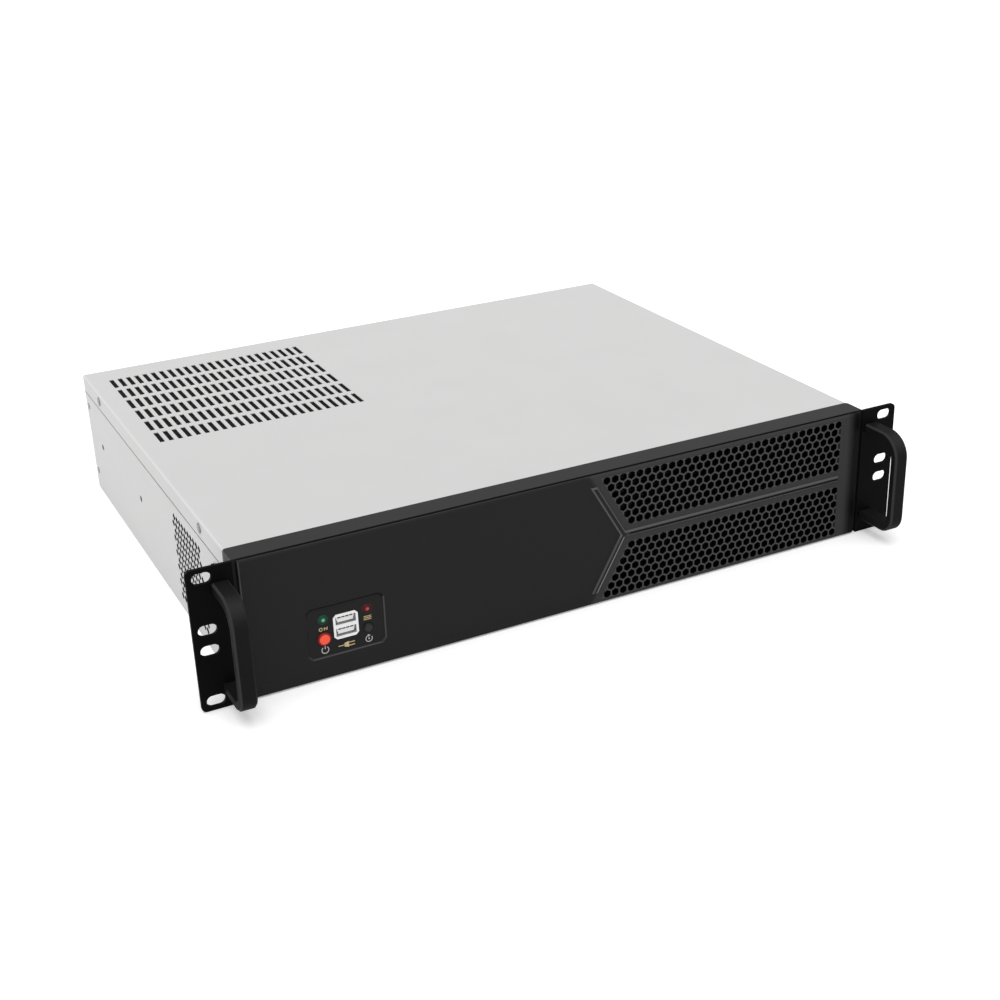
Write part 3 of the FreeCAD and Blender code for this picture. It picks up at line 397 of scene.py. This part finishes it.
def panel_edges(steps, spot):
    """Masks of the slanted edges that get a painted highlight, where lit, and painted shade, where overhung.

    Edges that look left are lit all over the front. Those that look up are lit, and those that look
    down are overhung, only on the side of the control panel.
    """
    left, right, reach = -200.0, -60.0, 39.0
    left_strength = -1.2
    overhang_strength = -3.0
    rim_depth = 0.6
    panel = steps.times(steps.between(spot.x, left, right), steps.below(spot.height, reach))
    leftward = steps.times(spot.across, left_strength, clamp=True)
    lit = steps.math("MAXIMUM", leftward, steps.times(panel, spot.upward, clamp=True))
    overhung = steps.times(panel, steps.times(spot.upward, overhang_strength, clamp=True))
    outer = steps.below(spot.y, FRONT_Y + rim_depth)
    return steps.times(spot.slanted, lit, outer), steps.times(spot.slanted, overhung)


def arrow_ridges(steps, spot, right_end):
    """Masks of the painted highlights on the arrow's slanted edges and of the painted highlight line along
    its lower arm.
    """
    strength, lower_loss = 0.7, 0.65
    middle_bar = -1.5
    leaning_left = -0.3
    line_inside, line_outside = 0.75, 0.6
    on_top = 0.1
    start, end = 0.0, right_end - 8.0
    reach = ARROW_REACH + 1
    on_arrow = steps.times(steps.between(spot.x, start, end), steps.below(spot.height, reach))
    lower_arm = steps.below(spot.z, middle_bar)
    lower_left = steps.times(lower_arm, steps.below(spot.across, leaning_left))
    gain = steps.math("SUBTRACT", strength, steps.times(lower_left, lower_loss))
    edges = steps.times(spot.slanted, on_arrow, gain)
    along_edge = steps.between(spot.past_arrow, ARM_EDGE - line_inside, ARM_EDGE + line_outside)
    arm_highlight_line = steps.times(along_edge, steps.below(spot.y, FRONT_Y - on_top), lower_arm,
                            steps.above(spot.z, -reach))
    return edges, arm_highlight_line


def dark_walls(steps, spot, right_end):
    """Masks of the painted shade on the right end and on the walls inside the holes."""
    shade_start, shade_width = right_end - 10.0, 6.0
    shade_depth = 2.5
    sideways = 0.3
    holes_start, holes_end, holes_reach = 0.0, right_end - 2.0, 42.0
    shade = steps.math("DIVIDE", steps.math("SUBTRACT", spot.x, shade_start), shade_width, clamp=True)
    shaded_end = steps.times(shade, steps.below(spot.y, FRONT_Y + shade_depth))
    hole_walls = steps.times(steps.below(steps.math("ABSOLUTE", spot.inward), sideways),
                             steps.between(spot.x, holes_start, holes_end),
                             steps.below(spot.height, holes_reach))
    return shaded_end, hole_walls


def bezel_material():
    """Black moulded plastic with painted light: painted highlights along the webs and on lit edges, painted
    shade at the hole rims, in the holes, under overhangs and on the right end, and a lighter grey on the
    top, the left end and right of the arrow.
    """
    # The plain front; a lighter grey right of the arrow, painted light; painted shade at the honeycomb's
    # hole rims; a painted highlight along the webs.
    plain, right_side_light, shaded_rim, web_highlight = grey(0.0155), grey(0.037), grey(0.007), grey(0.1)
    # Painted light on the top face; painted shade for the hole walls, overhangs and right end; painted light
    # on the left end.
    top, wall_shade, lit_left_end = grey(0.026), grey(0.001), grey(0.038)
    # Painted highlights on lit edges, on the arrow's edges and along the line of its lower arm.
    edge, ridge_highlight, arm_highlight = grey(0.085), grey(0.12), grey(0.2)
    made, tree, surface = shader("bezel_plastic", plain, 0.5, specular=0.07)
    steps = Steps(tree)
    spot = front_spot(steps)
    grain = noise(tree, 0.5)
    speckle = ramp(tree, grain, -0.1, 0.1)
    fade = 0.3
    front_depth = 1.5
    square = 0.9
    end_skin = 1.0
    smoothest, roughest = 0.44, 0.56
    past_arrow = steps.times(spot.past_arrow, fade, clamp=True)
    right_mask = steps.times(past_arrow, steps.below(spot.y, FRONT_Y + front_depth))
    webs = steps.mixed(steps.math("ADD", cell_webs(steps, spot), speckle, clamp=True), shaded_rim, web_highlight)
    right_end = extent("fascia")[1].x
    shaded_end, hole_walls = dark_walls(steps, spot, right_end)
    lit_edges, overhung_edges = panel_edges(steps, spot)
    arrow_edges, arm_highlight_line = arrow_ridges(steps, spot, right_end)
    left_side = steps.times(steps.below(spot.across, -square),
                            steps.below(spot.x, extent("bezel_frame")[0].x + end_skin))
    color = steps.mixed(steps.math("ADD", right_mask, speckle, clamp=True), plain, right_side_light)
    color = steps.layered(color, [
        (steps.times(right_mask, grille_mask(steps, spot)), webs),
        (steps.above(spot.upward, square), top),
        (shaded_end, wall_shade),
        (lit_edges, edge),
        (arrow_edges, ridge_highlight),
        (arm_highlight_line, arm_highlight),
        (hole_walls, wall_shade),
        (overhung_edges, wall_shade),
        (left_side, lit_left_end)])
    tree.links.new(color, surface.inputs["Base Color"])
    tree.links.new(ramp(tree, grain, smoothest, roughest), surface.inputs["Roughness"])
    bump(tree, surface, grain, depth_mm=0.04, strength=0.25)
    return made


# ---------------------------------------------------------------- all materials

MOULDED = dict(grain_mm=0.4, spread=0.05, specular=0.2)
CLEAR = dict(roughness=0.2, grain_mm=0.8, spread=0.08, specular=0.2)
CORE = dict(roughness=0.25, grain_mm=0.8, spread=0.08)
PRINTED = dict(roughness=0.55, grain_mm=0.3, spread=0.1, cloud_mm=2.0)

finishes = {
    "zinc_steel": dict(color=(0.42, 0.425, 0.43), roughness=0.5, grain_mm=2.5, spread=0.05,
                       cloud_mm=12.0, metallic=1.0),
    "screw_steel": dict(color=(0.2, 0.2, 0.203), roughness=0.4, grain_mm=0.5, spread=0.06,
                        strength=0.2, cloud_mm=2.0, metallic=1.0),
    "brass": dict(color=(0.62, 0.45, 0.17), roughness=0.3, grain_mm=0.5, spread=0.06,
                  strength=0.2, cloud_mm=3.0, metallic=1.0),
    "port_metal": dict(color=(0.72, 0.72, 0.73), roughness=0.3, grain_mm=0.6, spread=0.03,
                       cloud_mm=4.0, metallic=0.75),
    "contact_metal": dict(color=(0.03, 0.025, 0.02), roughness=0.35, grain_mm=0.5, spread=0.1,
                          cloud_mm=2.0, metallic=0.6),
    "port_plastic": dict(color=(0.82, 0.81, 0.79), roughness=0.4, grain_mm=0.6, spread=0.02),
    "circuit_board": dict(color=(0.01, 0.1, 0.04), roughness=0.4, grain_mm=1.2, spread=0.1,
                          depth_mm=0.03, strength=0.2),
    # Near black, used for the sheet under the top vent and the strips in the end gaps, which are painted
    # shade.
    "filter_mesh": dict(color=grey(0.005), roughness=0.8, grain_mm=0.8, spread=0.2,
                        depth_mm=0.15, strength=0.8, specular=0.1),
    "red_button": dict(color=(0.25, 0.008, 0.008), roughness=0.35, **MOULDED),
    "red_cap": dict(color=(0.93, 0.1, 0.055), roughness=0.4, **MOULDED),
    "black_button": dict(color=grey(0.008), roughness=0.35, **MOULDED),
    "dark_cap": dict(color=grey(0.022), roughness=0.4, **MOULDED),
    "green_lens": dict(color=(0.003, 0.06, 0.026), **CLEAR),
    "red_lens": dict(color=(0.07, 0.003, 0.004), **CLEAR),
    "green_core": dict(color=(0.12, 0.4, 0.24), **CORE),
    "red_core": dict(color=(0.45, 0.03, 0.03), **CORE),
    "print_gold": dict(color=(0.56, 0.44, 0.22), **PRINTED),
    "print_grey": dict(color=(0.45, 0.44, 0.42), **PRINTED),
}

materials = {name: finish_material(name, **finish)[0] for name, finish in finishes.items()}
materials["body_paint"] = body_paint_material()
materials["bezel_plastic"] = bezel_material()
# edge: the colour of the painted highlight on the slanted edges.
materials["ear_paint"] = edged_material("ear_paint", grey(0.0035), edge=grey(0.02), specular=0.03,
                                        grain_mm=0.6, depth_mm=0.03)
materials["handle_paint"] = edged_material("handle_paint", grey(0.009), edge=grey(0.035), specular=0.04,
                                           grain_mm=0.5, depth_mm=0.02)

for node, thing in nodes.items():
    thing.data.materials.clear()
    thing.data.materials.append(materials[slots[node]])

# ---------------------------------------------------------------- forms


def add_piece(name, mesh, material, body="case", smooth=True):
    """Puts a finished bmesh, in millimetres, on a body."""
    sharp_from = math.radians(35)
    bmesh.ops.recalc_face_normals(mesh, faces=mesh.faces)
    bmesh.ops.scale(mesh, vec=(MM, MM, MM), verts=mesh.verts)
    data = bpy.data.meshes.new(name)
    mesh.to_mesh(data)
    mesh.free()
    data.materials.append(materials[material])
    if smooth:
        data.shade_smooth()
        data.set_sharp_from_angle(angle=sharp_from)
    made = bpy.data.objects.new(name, data)
    bpy.context.scene.collection.objects.link(made)
    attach(made, body)
    return made


def turned(mesh, origin, outward, profile, sides=32):
    """A turned form round an axis: profile lists (radius, height above the origin)."""
    outward = Vector(outward).normalized()
    right = outward.orthogonal().normalized()
    other = outward.cross(right)
    angles = [math.tau * side / sides for side in range(sides)]
    rings = []
    for radius, height in profile:
        centre = Vector(origin) + outward * height
        if radius == 0:
            rings.append([mesh.verts.new(centre)])
            continue
        rings.append([mesh.verts.new(centre + (right * math.cos(angle) + other * math.sin(angle)) * radius)
                      for angle in angles])
    for lower, upper in zip(rings, rings[1:]):
        for side in range(sides):
            following = (side + 1) % sides
            if len(lower) == 1:
                mesh.faces.new((lower[0], upper[side], upper[following]))
            elif len(upper) == 1:
                mesh.faces.new((lower[side], lower[following], upper[0]))
            else:
                mesh.faces.new((lower[side], lower[following], upper[following], upper[side]))


def plate(mesh, front, back):
    """A closed plate between two outlines of the same number of corners."""
    near = [mesh.verts.new(corner) for corner in front]
    far = [mesh.verts.new(corner) for corner in back]
    mesh.faces.new(near)
    mesh.faces.new(far[::-1])
    for corner in range(len(near)):
        following = (corner + 1) % len(near)
        mesh.faces.new((near[corner], near[following], far[following], far[corner]))


def slab(mesh, outline, start, end):
    """A flat plate in the XZ plane from its outline, between two Y levels."""
    plate(mesh, [(x, start, z) for x, z in outline], [(x, end, z) for x, z in outline])


def block(mesh, left, right, bottom, top, start, end):
    """A rectangular slab."""
    slab(mesh, [(left, bottom), (right, bottom), (right, top), (left, top)], start, end)


def stroke(mesh, points, width, start, end):
    """A flat line of constant width through points in the XZ plane, half a width longer at each end."""
    for from_point, to_point in zip(points, points[1:]):
        first, last = Vector(from_point), Vector(to_point)
        extra = (last - first).normalized() * width / 2
        side = Vector((-extra.y, extra.x))
        first -= extra
        last += extra
        slab(mesh, [first - side, last - side, last + side, first + side], start, end)


def arc_points(x, z, radius, first, last, steps=20):
    """Points on a circle between two angles in degrees, counted from the top, clockwise."""
    angles = [math.radians(first + (last - first) * step / steps) for step in range(steps + 1)]
    return [(x + radius * math.sin(angle), z + radius * math.cos(angle)) for angle in angles]


def ribbon(mesh, points, width, start, end):
    """A smooth curved band through points in the XZ plane, as one strip."""
    spots = [Vector(point) for point in points]
    left, right = [], []
    for number, spot in enumerate(spots):
        before = spots[max(number - 1, 0)]
        after = spots[min(number + 1, len(spots) - 1)]
        along = (after - before).normalized()
        side = Vector((-along.y, along.x)) * width / 2
        left.append(spot + side)
        right.append(spot - side)
    slab(mesh, left + right[::-1], start, end)


# ---------------------------------------------------------------- screw heads and rivets


def cross_recess(mesh, base, outward, reach):
    """Two crossed dark bars of painted shade that read as a cross recess."""
    thickness, narrowness = 0.05, 0.28
    side = outward.orthogonal().normalized()
    other = outward.cross(side)
    for long, short in ((side, other), (other, side)):
        corners = [base + long * a * reach + short * b * reach * narrowness
                   for a, b in ((-1, -1), (1, -1), (1, 1), (-1, 1))]
        face = mesh.faces.new([mesh.verts.new(corner) for corner in corners])
        raised = bmesh.ops.extrude_face_region(mesh, geom=[face])
        moved = [item for item in raised["geom"] if isinstance(item, bmesh.types.BMVert)]
        bmesh.ops.translate(mesh, verts=moved, vec=outward * thickness)


def islands(node):
    """Lowest and highest corners of the separate solids of a CAD node, in millimetres."""
    same_point = 0.005
    mesh = bmesh.new()
    mesh.from_mesh(nodes[node].data)
    bmesh.ops.remove_doubles(mesh, verts=mesh.verts, dist=same_point * MM)
    found = []
    todo = set(mesh.verts)
    while todo:
        group, frontier = set(), [todo.pop()]
        while frontier:
            spot = frontier.pop()
            group.add(spot)
            for line in spot.link_edges:
                other = line.other_vert(spot)
                if other in todo:
                    todo.discard(other)
                    frontier.append(other)
        low = Vector([min(vertex.co[k] for vertex in group) for k in range(3)]) / MM
        high = Vector([max(vertex.co[k] for vertex in group) for k in range(3)]) / MM
        found.append((low, high))
    mesh.free()
    return found


def head_profile(radius, height, driven):
    """Radius and height along a screw head or rivet with a rounded edge."""
    edge_share, widest_edge = 0.45, 0.5
    inward_share, downward_share = 0.3, 0.35
    edge = min(height * edge_share, widest_edge)
    profile = [(0, 0), (radius, 0), (radius, height - edge),
               (radius - edge * inward_share, height - edge * downward_share), (radius - edge, height)]
    if driven:
        profile.append((radius / 2, height))
    return profile + [(0, height)]


def screw_heads(node, axis, outward_of, driven=True):
    """Rounded heads in place of a node's plain ones; driven ones get dark bars of painted shade in place of
    the driver's recess.
    """
    recess_reach, recess_depth = 0.52, 0.055
    heads, recesses = bmesh.new(), bmesh.new()
    for low, high in islands(node):
        centre = (low + high) / 2
        sign = outward_of(centre)
        outward = Vector([sign if k == axis else 0 for k in range(3)])
        height = high[axis] - low[axis]
        radius = max(high[k] - low[k] for k in range(3) if k != axis) / 2
        base = centre.copy()
        base[axis] = low[axis] if sign > 0 else high[axis]
        turned(heads, base, outward, head_profile(radius, height, driven))
        if driven:
            cross_recess(recesses, base + outward * (height - recess_depth), outward, radius * recess_reach)
    made = add_piece(node + "_heads", heads, slots[node])
    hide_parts(node)
    if driven:
        add_piece(node + "_recesses", recesses, "contact_metal", smooth=False)
    else:
        recesses.free()


def away_from_middle(centre):
    """1 on the right of the case and -1 on the left."""
    return 1 if centre.x > 0 else -1


def rearward(centre):
    """1 everywhere: these heads look to the rear."""
    return 1


screw_heads("cover_screws", 0, away_from_middle)
screw_heads("ear_screws", 0, away_from_middle)
screw_heads("slot_screws", 1, rearward)
screw_heads("handle_screws", 1, rearward)
screw_heads("side_rivets", 0, away_from_middle, driven=False)

# ---------------------------------------------------------------- lamps and button faces


def lens(node, rim_material, core_material):
    """A domed lamp with a flange on the recess floor and a lighter core."""
    flange, flange_edge, flange_top = 0.5, 0.1, 0.2
    dome_share, dome_steps = 0.55, 6
    low, high = extent(node)
    x, z = middle(node)
    radius = (high.x - low.x) / 2
    dome_height = radius * dome_share
    straight = high.y - low.y - dome_height
    floor = high.y - RECESS_Y
    profile = [(0, 0), (radius, 0), (radius, floor), (radius + flange, floor),
               (radius + flange, floor + flange_edge), (radius, floor + flange_top), (radius, straight)]
    for step in range(1, dome_steps):
        angle = math.radians(90 * step / dome_steps)
        profile.append((radius * math.cos(angle), straight + dome_height * math.sin(angle)))
    profile.append((0, straight + dome_height))
    dome = bmesh.new()
    turned(dome, (x, high.y, z), (0, -1, 0), profile)
    made = add_piece(node + "_dome", dome, rim_material)
    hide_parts(node)
    core = bmesh.new()
    turned(core, (x, low.y, z), (0, -1, 0),
           [(0, -0.3), (radius * 0.42, -0.3), (radius * 0.4, -0.09), (radius * 0.2, 0.0), (0, 0.02)])
    add_piece(node + "_core", core, core_material)


def cap_face(node, material, inset):
    """A slightly crowned disc on the front of a button, moving with it."""
    low, high = extent(node)
    x, z = middle(node)
    radius = (high.z - low.z) / 2 - inset
    disc = bmesh.new()
    turned(disc, (x, low.y, z), (0, -1, 0),
           [(0, -0.1), (radius, -0.1), (radius, 0.04), (radius * 0.9, 0.1), (radius * 0.5, 0.14), (0, 0.15)])
    add_piece(node + "_face", disc, material, body=node)


lens("power_lamp", "green_lens", "green_core")
lens("drive_lamp", "red_lens", "red_core")
cap_face("power_button", "red_cap", inset=1.0)
cap_face("reset_button", "dark_cap", inset=0.9)

# ---------------------------------------------------------------- print on the control panel

PRINT_LEVELS = (RECESS_Y - 0.05, RECESS_Y)
SYMBOL_Z = -25.1
LABEL_Z = -11.4
LABEL_LINE = 0.42
ports_x = middle("usb_shell")[0]
left_x = middle("power_lamp")[0]
right_x = 2 * ports_x - left_x


def power_symbol(mesh):
    """An open ring with a line in its gap, under the power button."""
    ring_radius, ring_width, line_width = 2.1, 0.55, 0.5
    line_top, line_bottom = SYMBOL_Z + 2.5, SYMBOL_Z + 0.7
    ribbon(mesh, arc_points(left_x, SYMBOL_Z, ring_radius, 35, 325), ring_width, *PRINT_LEVELS)
    stroke(mesh, [(left_x, line_top), (left_x, line_bottom)], line_width, *PRINT_LEVELS)


def restart_symbol(mesh):
    """An open ring that ends in an arrowhead, with a dot, under the reset button."""
    ring_radius, ring_width, dot_radius = 2.0, 0.5, 0.55
    tip_x, tip_z = right_x + 1.15, SYMBOL_Z + ring_radius
    length, half_width = 1.7, 0.95
    ribbon(mesh, arc_points(right_x, SYMBOL_Z, ring_radius, 60, 350), ring_width, *PRINT_LEVELS)
    slab(mesh, [(tip_x - length, tip_z - half_width), (tip_x, tip_z), (tip_x - length, tip_z + half_width)],
         *PRINT_LEVELS)
    slab(mesh, arc_points(right_x, SYMBOL_Z, dot_radius, 0, 330, steps=11), *PRINT_LEVELS)


def plug_symbol(mesh):
    """A generic plug under the ports: a lead, a body that widens to the right, and two blades."""
    lead_start, lead_end, lead_width = ports_x - 5.2, ports_x - 1.6, 0.5
    body_start, body_end = ports_x - 1.8, ports_x + 1.0
    narrow, wide = 1.1, 1.9
    blade_start, blade_end, blade_width, blade_offset = ports_x + 1.2, ports_x + 4.4, 0.55, 1.0
    stroke(mesh, [(lead_start, SYMBOL_Z), (lead_end, SYMBOL_Z)], lead_width, *PRINT_LEVELS)
    slab(mesh, [(body_start, SYMBOL_Z - narrow), (body_end, SYMBOL_Z - wide),
                (body_end, SYMBOL_Z + wide), (body_start, SYMBOL_Z + narrow)], *PRINT_LEVELS)
    for blade_z in (SYMBOL_Z - blade_offset, SYMBOL_Z + blade_offset):
        stroke(mesh, [(blade_start, blade_z), (blade_end, blade_z)], blade_width, *PRINT_LEVELS)


def on_label(mesh):
    """The word ON under the power lamp, drawn with strokes."""
    ring_x, ring_radius = left_x - 1.7, 0.95
    left, right = left_x + 0.4, left_x + 2.2
    bottom, top = LABEL_Z - 0.85, LABEL_Z + 0.85
    ribbon(mesh, arc_points(ring_x, LABEL_Z, ring_radius, 0, 360, steps=24), LABEL_LINE, *PRINT_LEVELS)
    stroke(mesh, [(left, bottom), (left, top), (right, bottom), (right, top)], LABEL_LINE, *PRINT_LEVELS)


def drive_label(mesh):
    """A stack of three bars under the drive lamp."""
    half_length, spacing = 2.2, 1.05
    for z in (LABEL_Z - spacing, LABEL_Z, LABEL_Z + spacing):
        stroke(mesh, [(right_x - half_length, z), (right_x + half_length, z)], LABEL_LINE, *PRINT_LEVELS)


for draw, material in ((power_symbol, "print_grey"), (restart_symbol, "print_grey"),
                       (plug_symbol, "print_gold"), (on_label, "print_gold"),
                       (drive_label, "print_gold")):
    printed = bmesh.new()
    draw(printed)
    add_piece(draw.__name__, printed, material, smooth=False)

# ---------------------------------------------------------------- inside of the ports


def tongue_boxes():
    """The two tongues: measured from the corners of the insert that lie furthest forward."""
    same_level = 0.01
    vertices = [vertex.co / MM for vertex in nodes["usb_tongues"].data.vertices]
    front = min(vertex.y for vertex in vertices)
    foremost = [vertex for vertex in vertices if vertex.y < front + same_level]
    left, right = min(vertex.x for vertex in foremost), max(vertex.x for vertex in foremost)
    levels = sorted({round(vertex.z, 3) for vertex in foremost})
    return [(Vector((left, front, bottom)), Vector((right, front, top)))
            for bottom, top in (levels[0:2], levels[2:4])]


def port_fittings():
    """A pale block round each tongue, with a row of dark contacts along its upper edge."""
    side_gap, drop, rise = 0.5, 1.2, 0.2
    block_front, block_back = 0.1, 0.4
    contact_count = 4
    contact_reach, contact_height = 1.0, 0.95
    contact_proud, contact_sunk = 0.05, 0.02
    blocks, contacts = bmesh.new(), bmesh.new()
    for low, high in tongue_boxes():
        front = low.y - block_front
        left, right, top = low.x + side_gap, high.x - side_gap, high.z + rise
        block(blocks, left, right, low.z - drop, top, front, low.y + block_back)
        for step in range(contact_count):
            x = left + (right - left) * (step + 0.5) / contact_count
            block(contacts, x - contact_reach, x + contact_reach, top - contact_height, top,
                  front - contact_proud, front + contact_sunk)
    add_piece("port_blocks", blocks, "port_plastic", smooth=False)
    add_piece("port_contacts", contacts, "contact_metal", smooth=False)


port_fittings()

# ---------------------------------------------------------------- dark sheet under the top vent and dark end strips, painted shade


def vent_filter():
    """A thin black sheet under the slots of the top vent: painted shade standing in for the dark inside of
    the case.
    """
    from_side, from_rear = 12.0, 19.0
    width, length, thickness = 150.0, 146.0, 0.4
    depth = 1.05
    low, high = extent("top_cover")
    left, rear = low.x + from_side, high.y - from_rear
    right, front = left + width, rear - length
    outline = [(left, front), (right, front), (right, rear), (left, rear)]
    top = high.z - depth
    mesh = bmesh.new()
    plate(mesh, [(x, y, top) for x, y in outline], [(x, y, top - thickness) for x, y in outline])
    add_piece("vent_filter", mesh, "filter_mesh", smooth=False)


def end_seals():
    """Thin black strips that close the gap between the front and the two rack ears: painted shade standing
    in for the dark gap.
    """
    end_gap, least_width = 0.3, 0.1
    strip_front = RECESS_Y + 0.05
    mesh = bmesh.new()
    low, high = extent("bezel_frame")
    gaps = ((extent("rack_ear_left")[1].x, low.x), (high.x, extent("rack_ear_right")[0].x))
    for left, right in gaps:
        centre = (left + right) / 2
        reach = max(right - left, least_width) / 2
        block(mesh, centre - reach, centre + reach, low.z + end_gap, high.z - end_gap, strip_front, 0.0)
    add_piece("end_seals", mesh, "filter_mesh", smooth=False)


vent_filter()
end_seals()

# ---------------------------------------------------------------- floor, light and camera


def seen_directly(tree, low, high):
    """One level for light on the part, another for the camera, for reflections and through glass."""
    path = tree.nodes.new("ShaderNodeLightPath")
    steps = Steps(tree)
    seen = steps.math("MAXIMUM", path.outputs["Is Camera Ray"], path.outputs["Is Glossy Ray"])
    seen = steps.math("MAXIMUM", seen, path.outputs["Is Transmission Ray"])
    level = tree.nodes.new("ShaderNodeMapRange")
    level.inputs["To Min"].default_value = low
    level.inputs["To Max"].default_value = high
    tree.links.new(seen, level.inputs["Value"])
    return level.outputs["Result"]


def emission_world(as_light, as_seen):
    """White where the camera and reflections see it, softer as a light."""
    world = bpy.data.worlds.new("studio")
    bpy.context.scene.world = world
    world.use_nodes = True
    tree = world.node_tree
    background = tree.nodes["Background"]
    background.inputs["Color"].default_value = (1, 1, 1, 1)
    tree.links.new(seen_directly(tree, as_light, as_seen), background.inputs["Strength"])


def studio_floor(reach, clearance, glow):
    """A wide white floor just under the part, which glows a little only where it is seen."""
    mesh = bmesh.new()
    level = cad_box[0].z / MM - clearance
    corners = [(-reach, -reach), (reach, -reach), (reach, reach), (-reach, reach)]
    mesh.faces.new([mesh.verts.new((x, y, level)) for x, y in corners])
    bmesh.ops.scale(mesh, vec=(MM, MM, MM), verts=mesh.verts)
    data = bpy.data.meshes.new("studio_floor")
    mesh.to_mesh(data)
    mesh.free()
    floor = bpy.data.objects.new("studio_floor", data)
    bpy.context.scene.collection.objects.link(floor)
    made, tree, surface = shader("floor_white", grey(0.98), 0.9, specular=0.0)
    surface.inputs["Emission Color"].default_value = (1, 1, 1, 1)
    tree.links.new(seen_directly(tree, 0.0, glow), surface.inputs["Emission Strength"])
    data.materials.append(made)


def soft_sun(name, toward, softness, strength):
    """Even light from one side; softness is the angle it fills, in degrees."""
    data = bpy.data.lights.new(name, "SUN")
    data.angle = math.radians(softness)
    data.energy = strength
    lamp = bpy.data.objects.new(name, data)
    lamp.rotation_euler = Vector(toward).to_track_quat("-Z", "Y").to_euler()
    bpy.context.scene.collection.objects.link(lamp)


def photo_camera(azimuth, elevation, roll, distance, aside, raised, lens):
    """A camera that looks along an azimuth and an elevation in degrees, moved aside and up."""
    azimuth, elevation, roll = (math.radians(angle) for angle in (azimuth, elevation, roll))
    back = Vector((math.sin(azimuth) * math.cos(elevation), -math.cos(azimuth) * math.cos(elevation),
                   math.sin(elevation)))
    right = Vector((0, 0, 1)).cross(back).normalized()
    up = back.cross(right)
    across = right * math.cos(roll) + up * math.sin(roll)
    upward = up * math.cos(roll) - right * math.sin(roll)
    data = bpy.data.cameras.new("photo_camera")
    data.sensor_width = 36.0
    data.lens = lens
    data.clip_start = 0.05
    data.clip_end = 50.0
    camera = bpy.data.objects.new("photo_camera", data)
    place = Matrix.Translation((back * distance + across * aside + upward * raised) * MM)
    camera.matrix_world = place @ Matrix((across, upward, back)).transposed().to_4x4()
    bpy.context.scene.collection.objects.link(camera)
    bpy.context.scene.camera = camera


emission_world(as_light=0.6, as_seen=1.0)
studio_floor(reach=6000.0, clearance=0.2, glow=0.25)
soft_sun("key_light", toward=(0.15, 0.28, -0.95), softness=60, strength=1.6)
photo_camera(azimuth=-26.19, elevation=24.38, roll=-2.0, distance=927.2, aside=-46.8, raised=26.7,
             lens=54.7)
bpy.context.scene.view_settings.view_transform = "Standard"
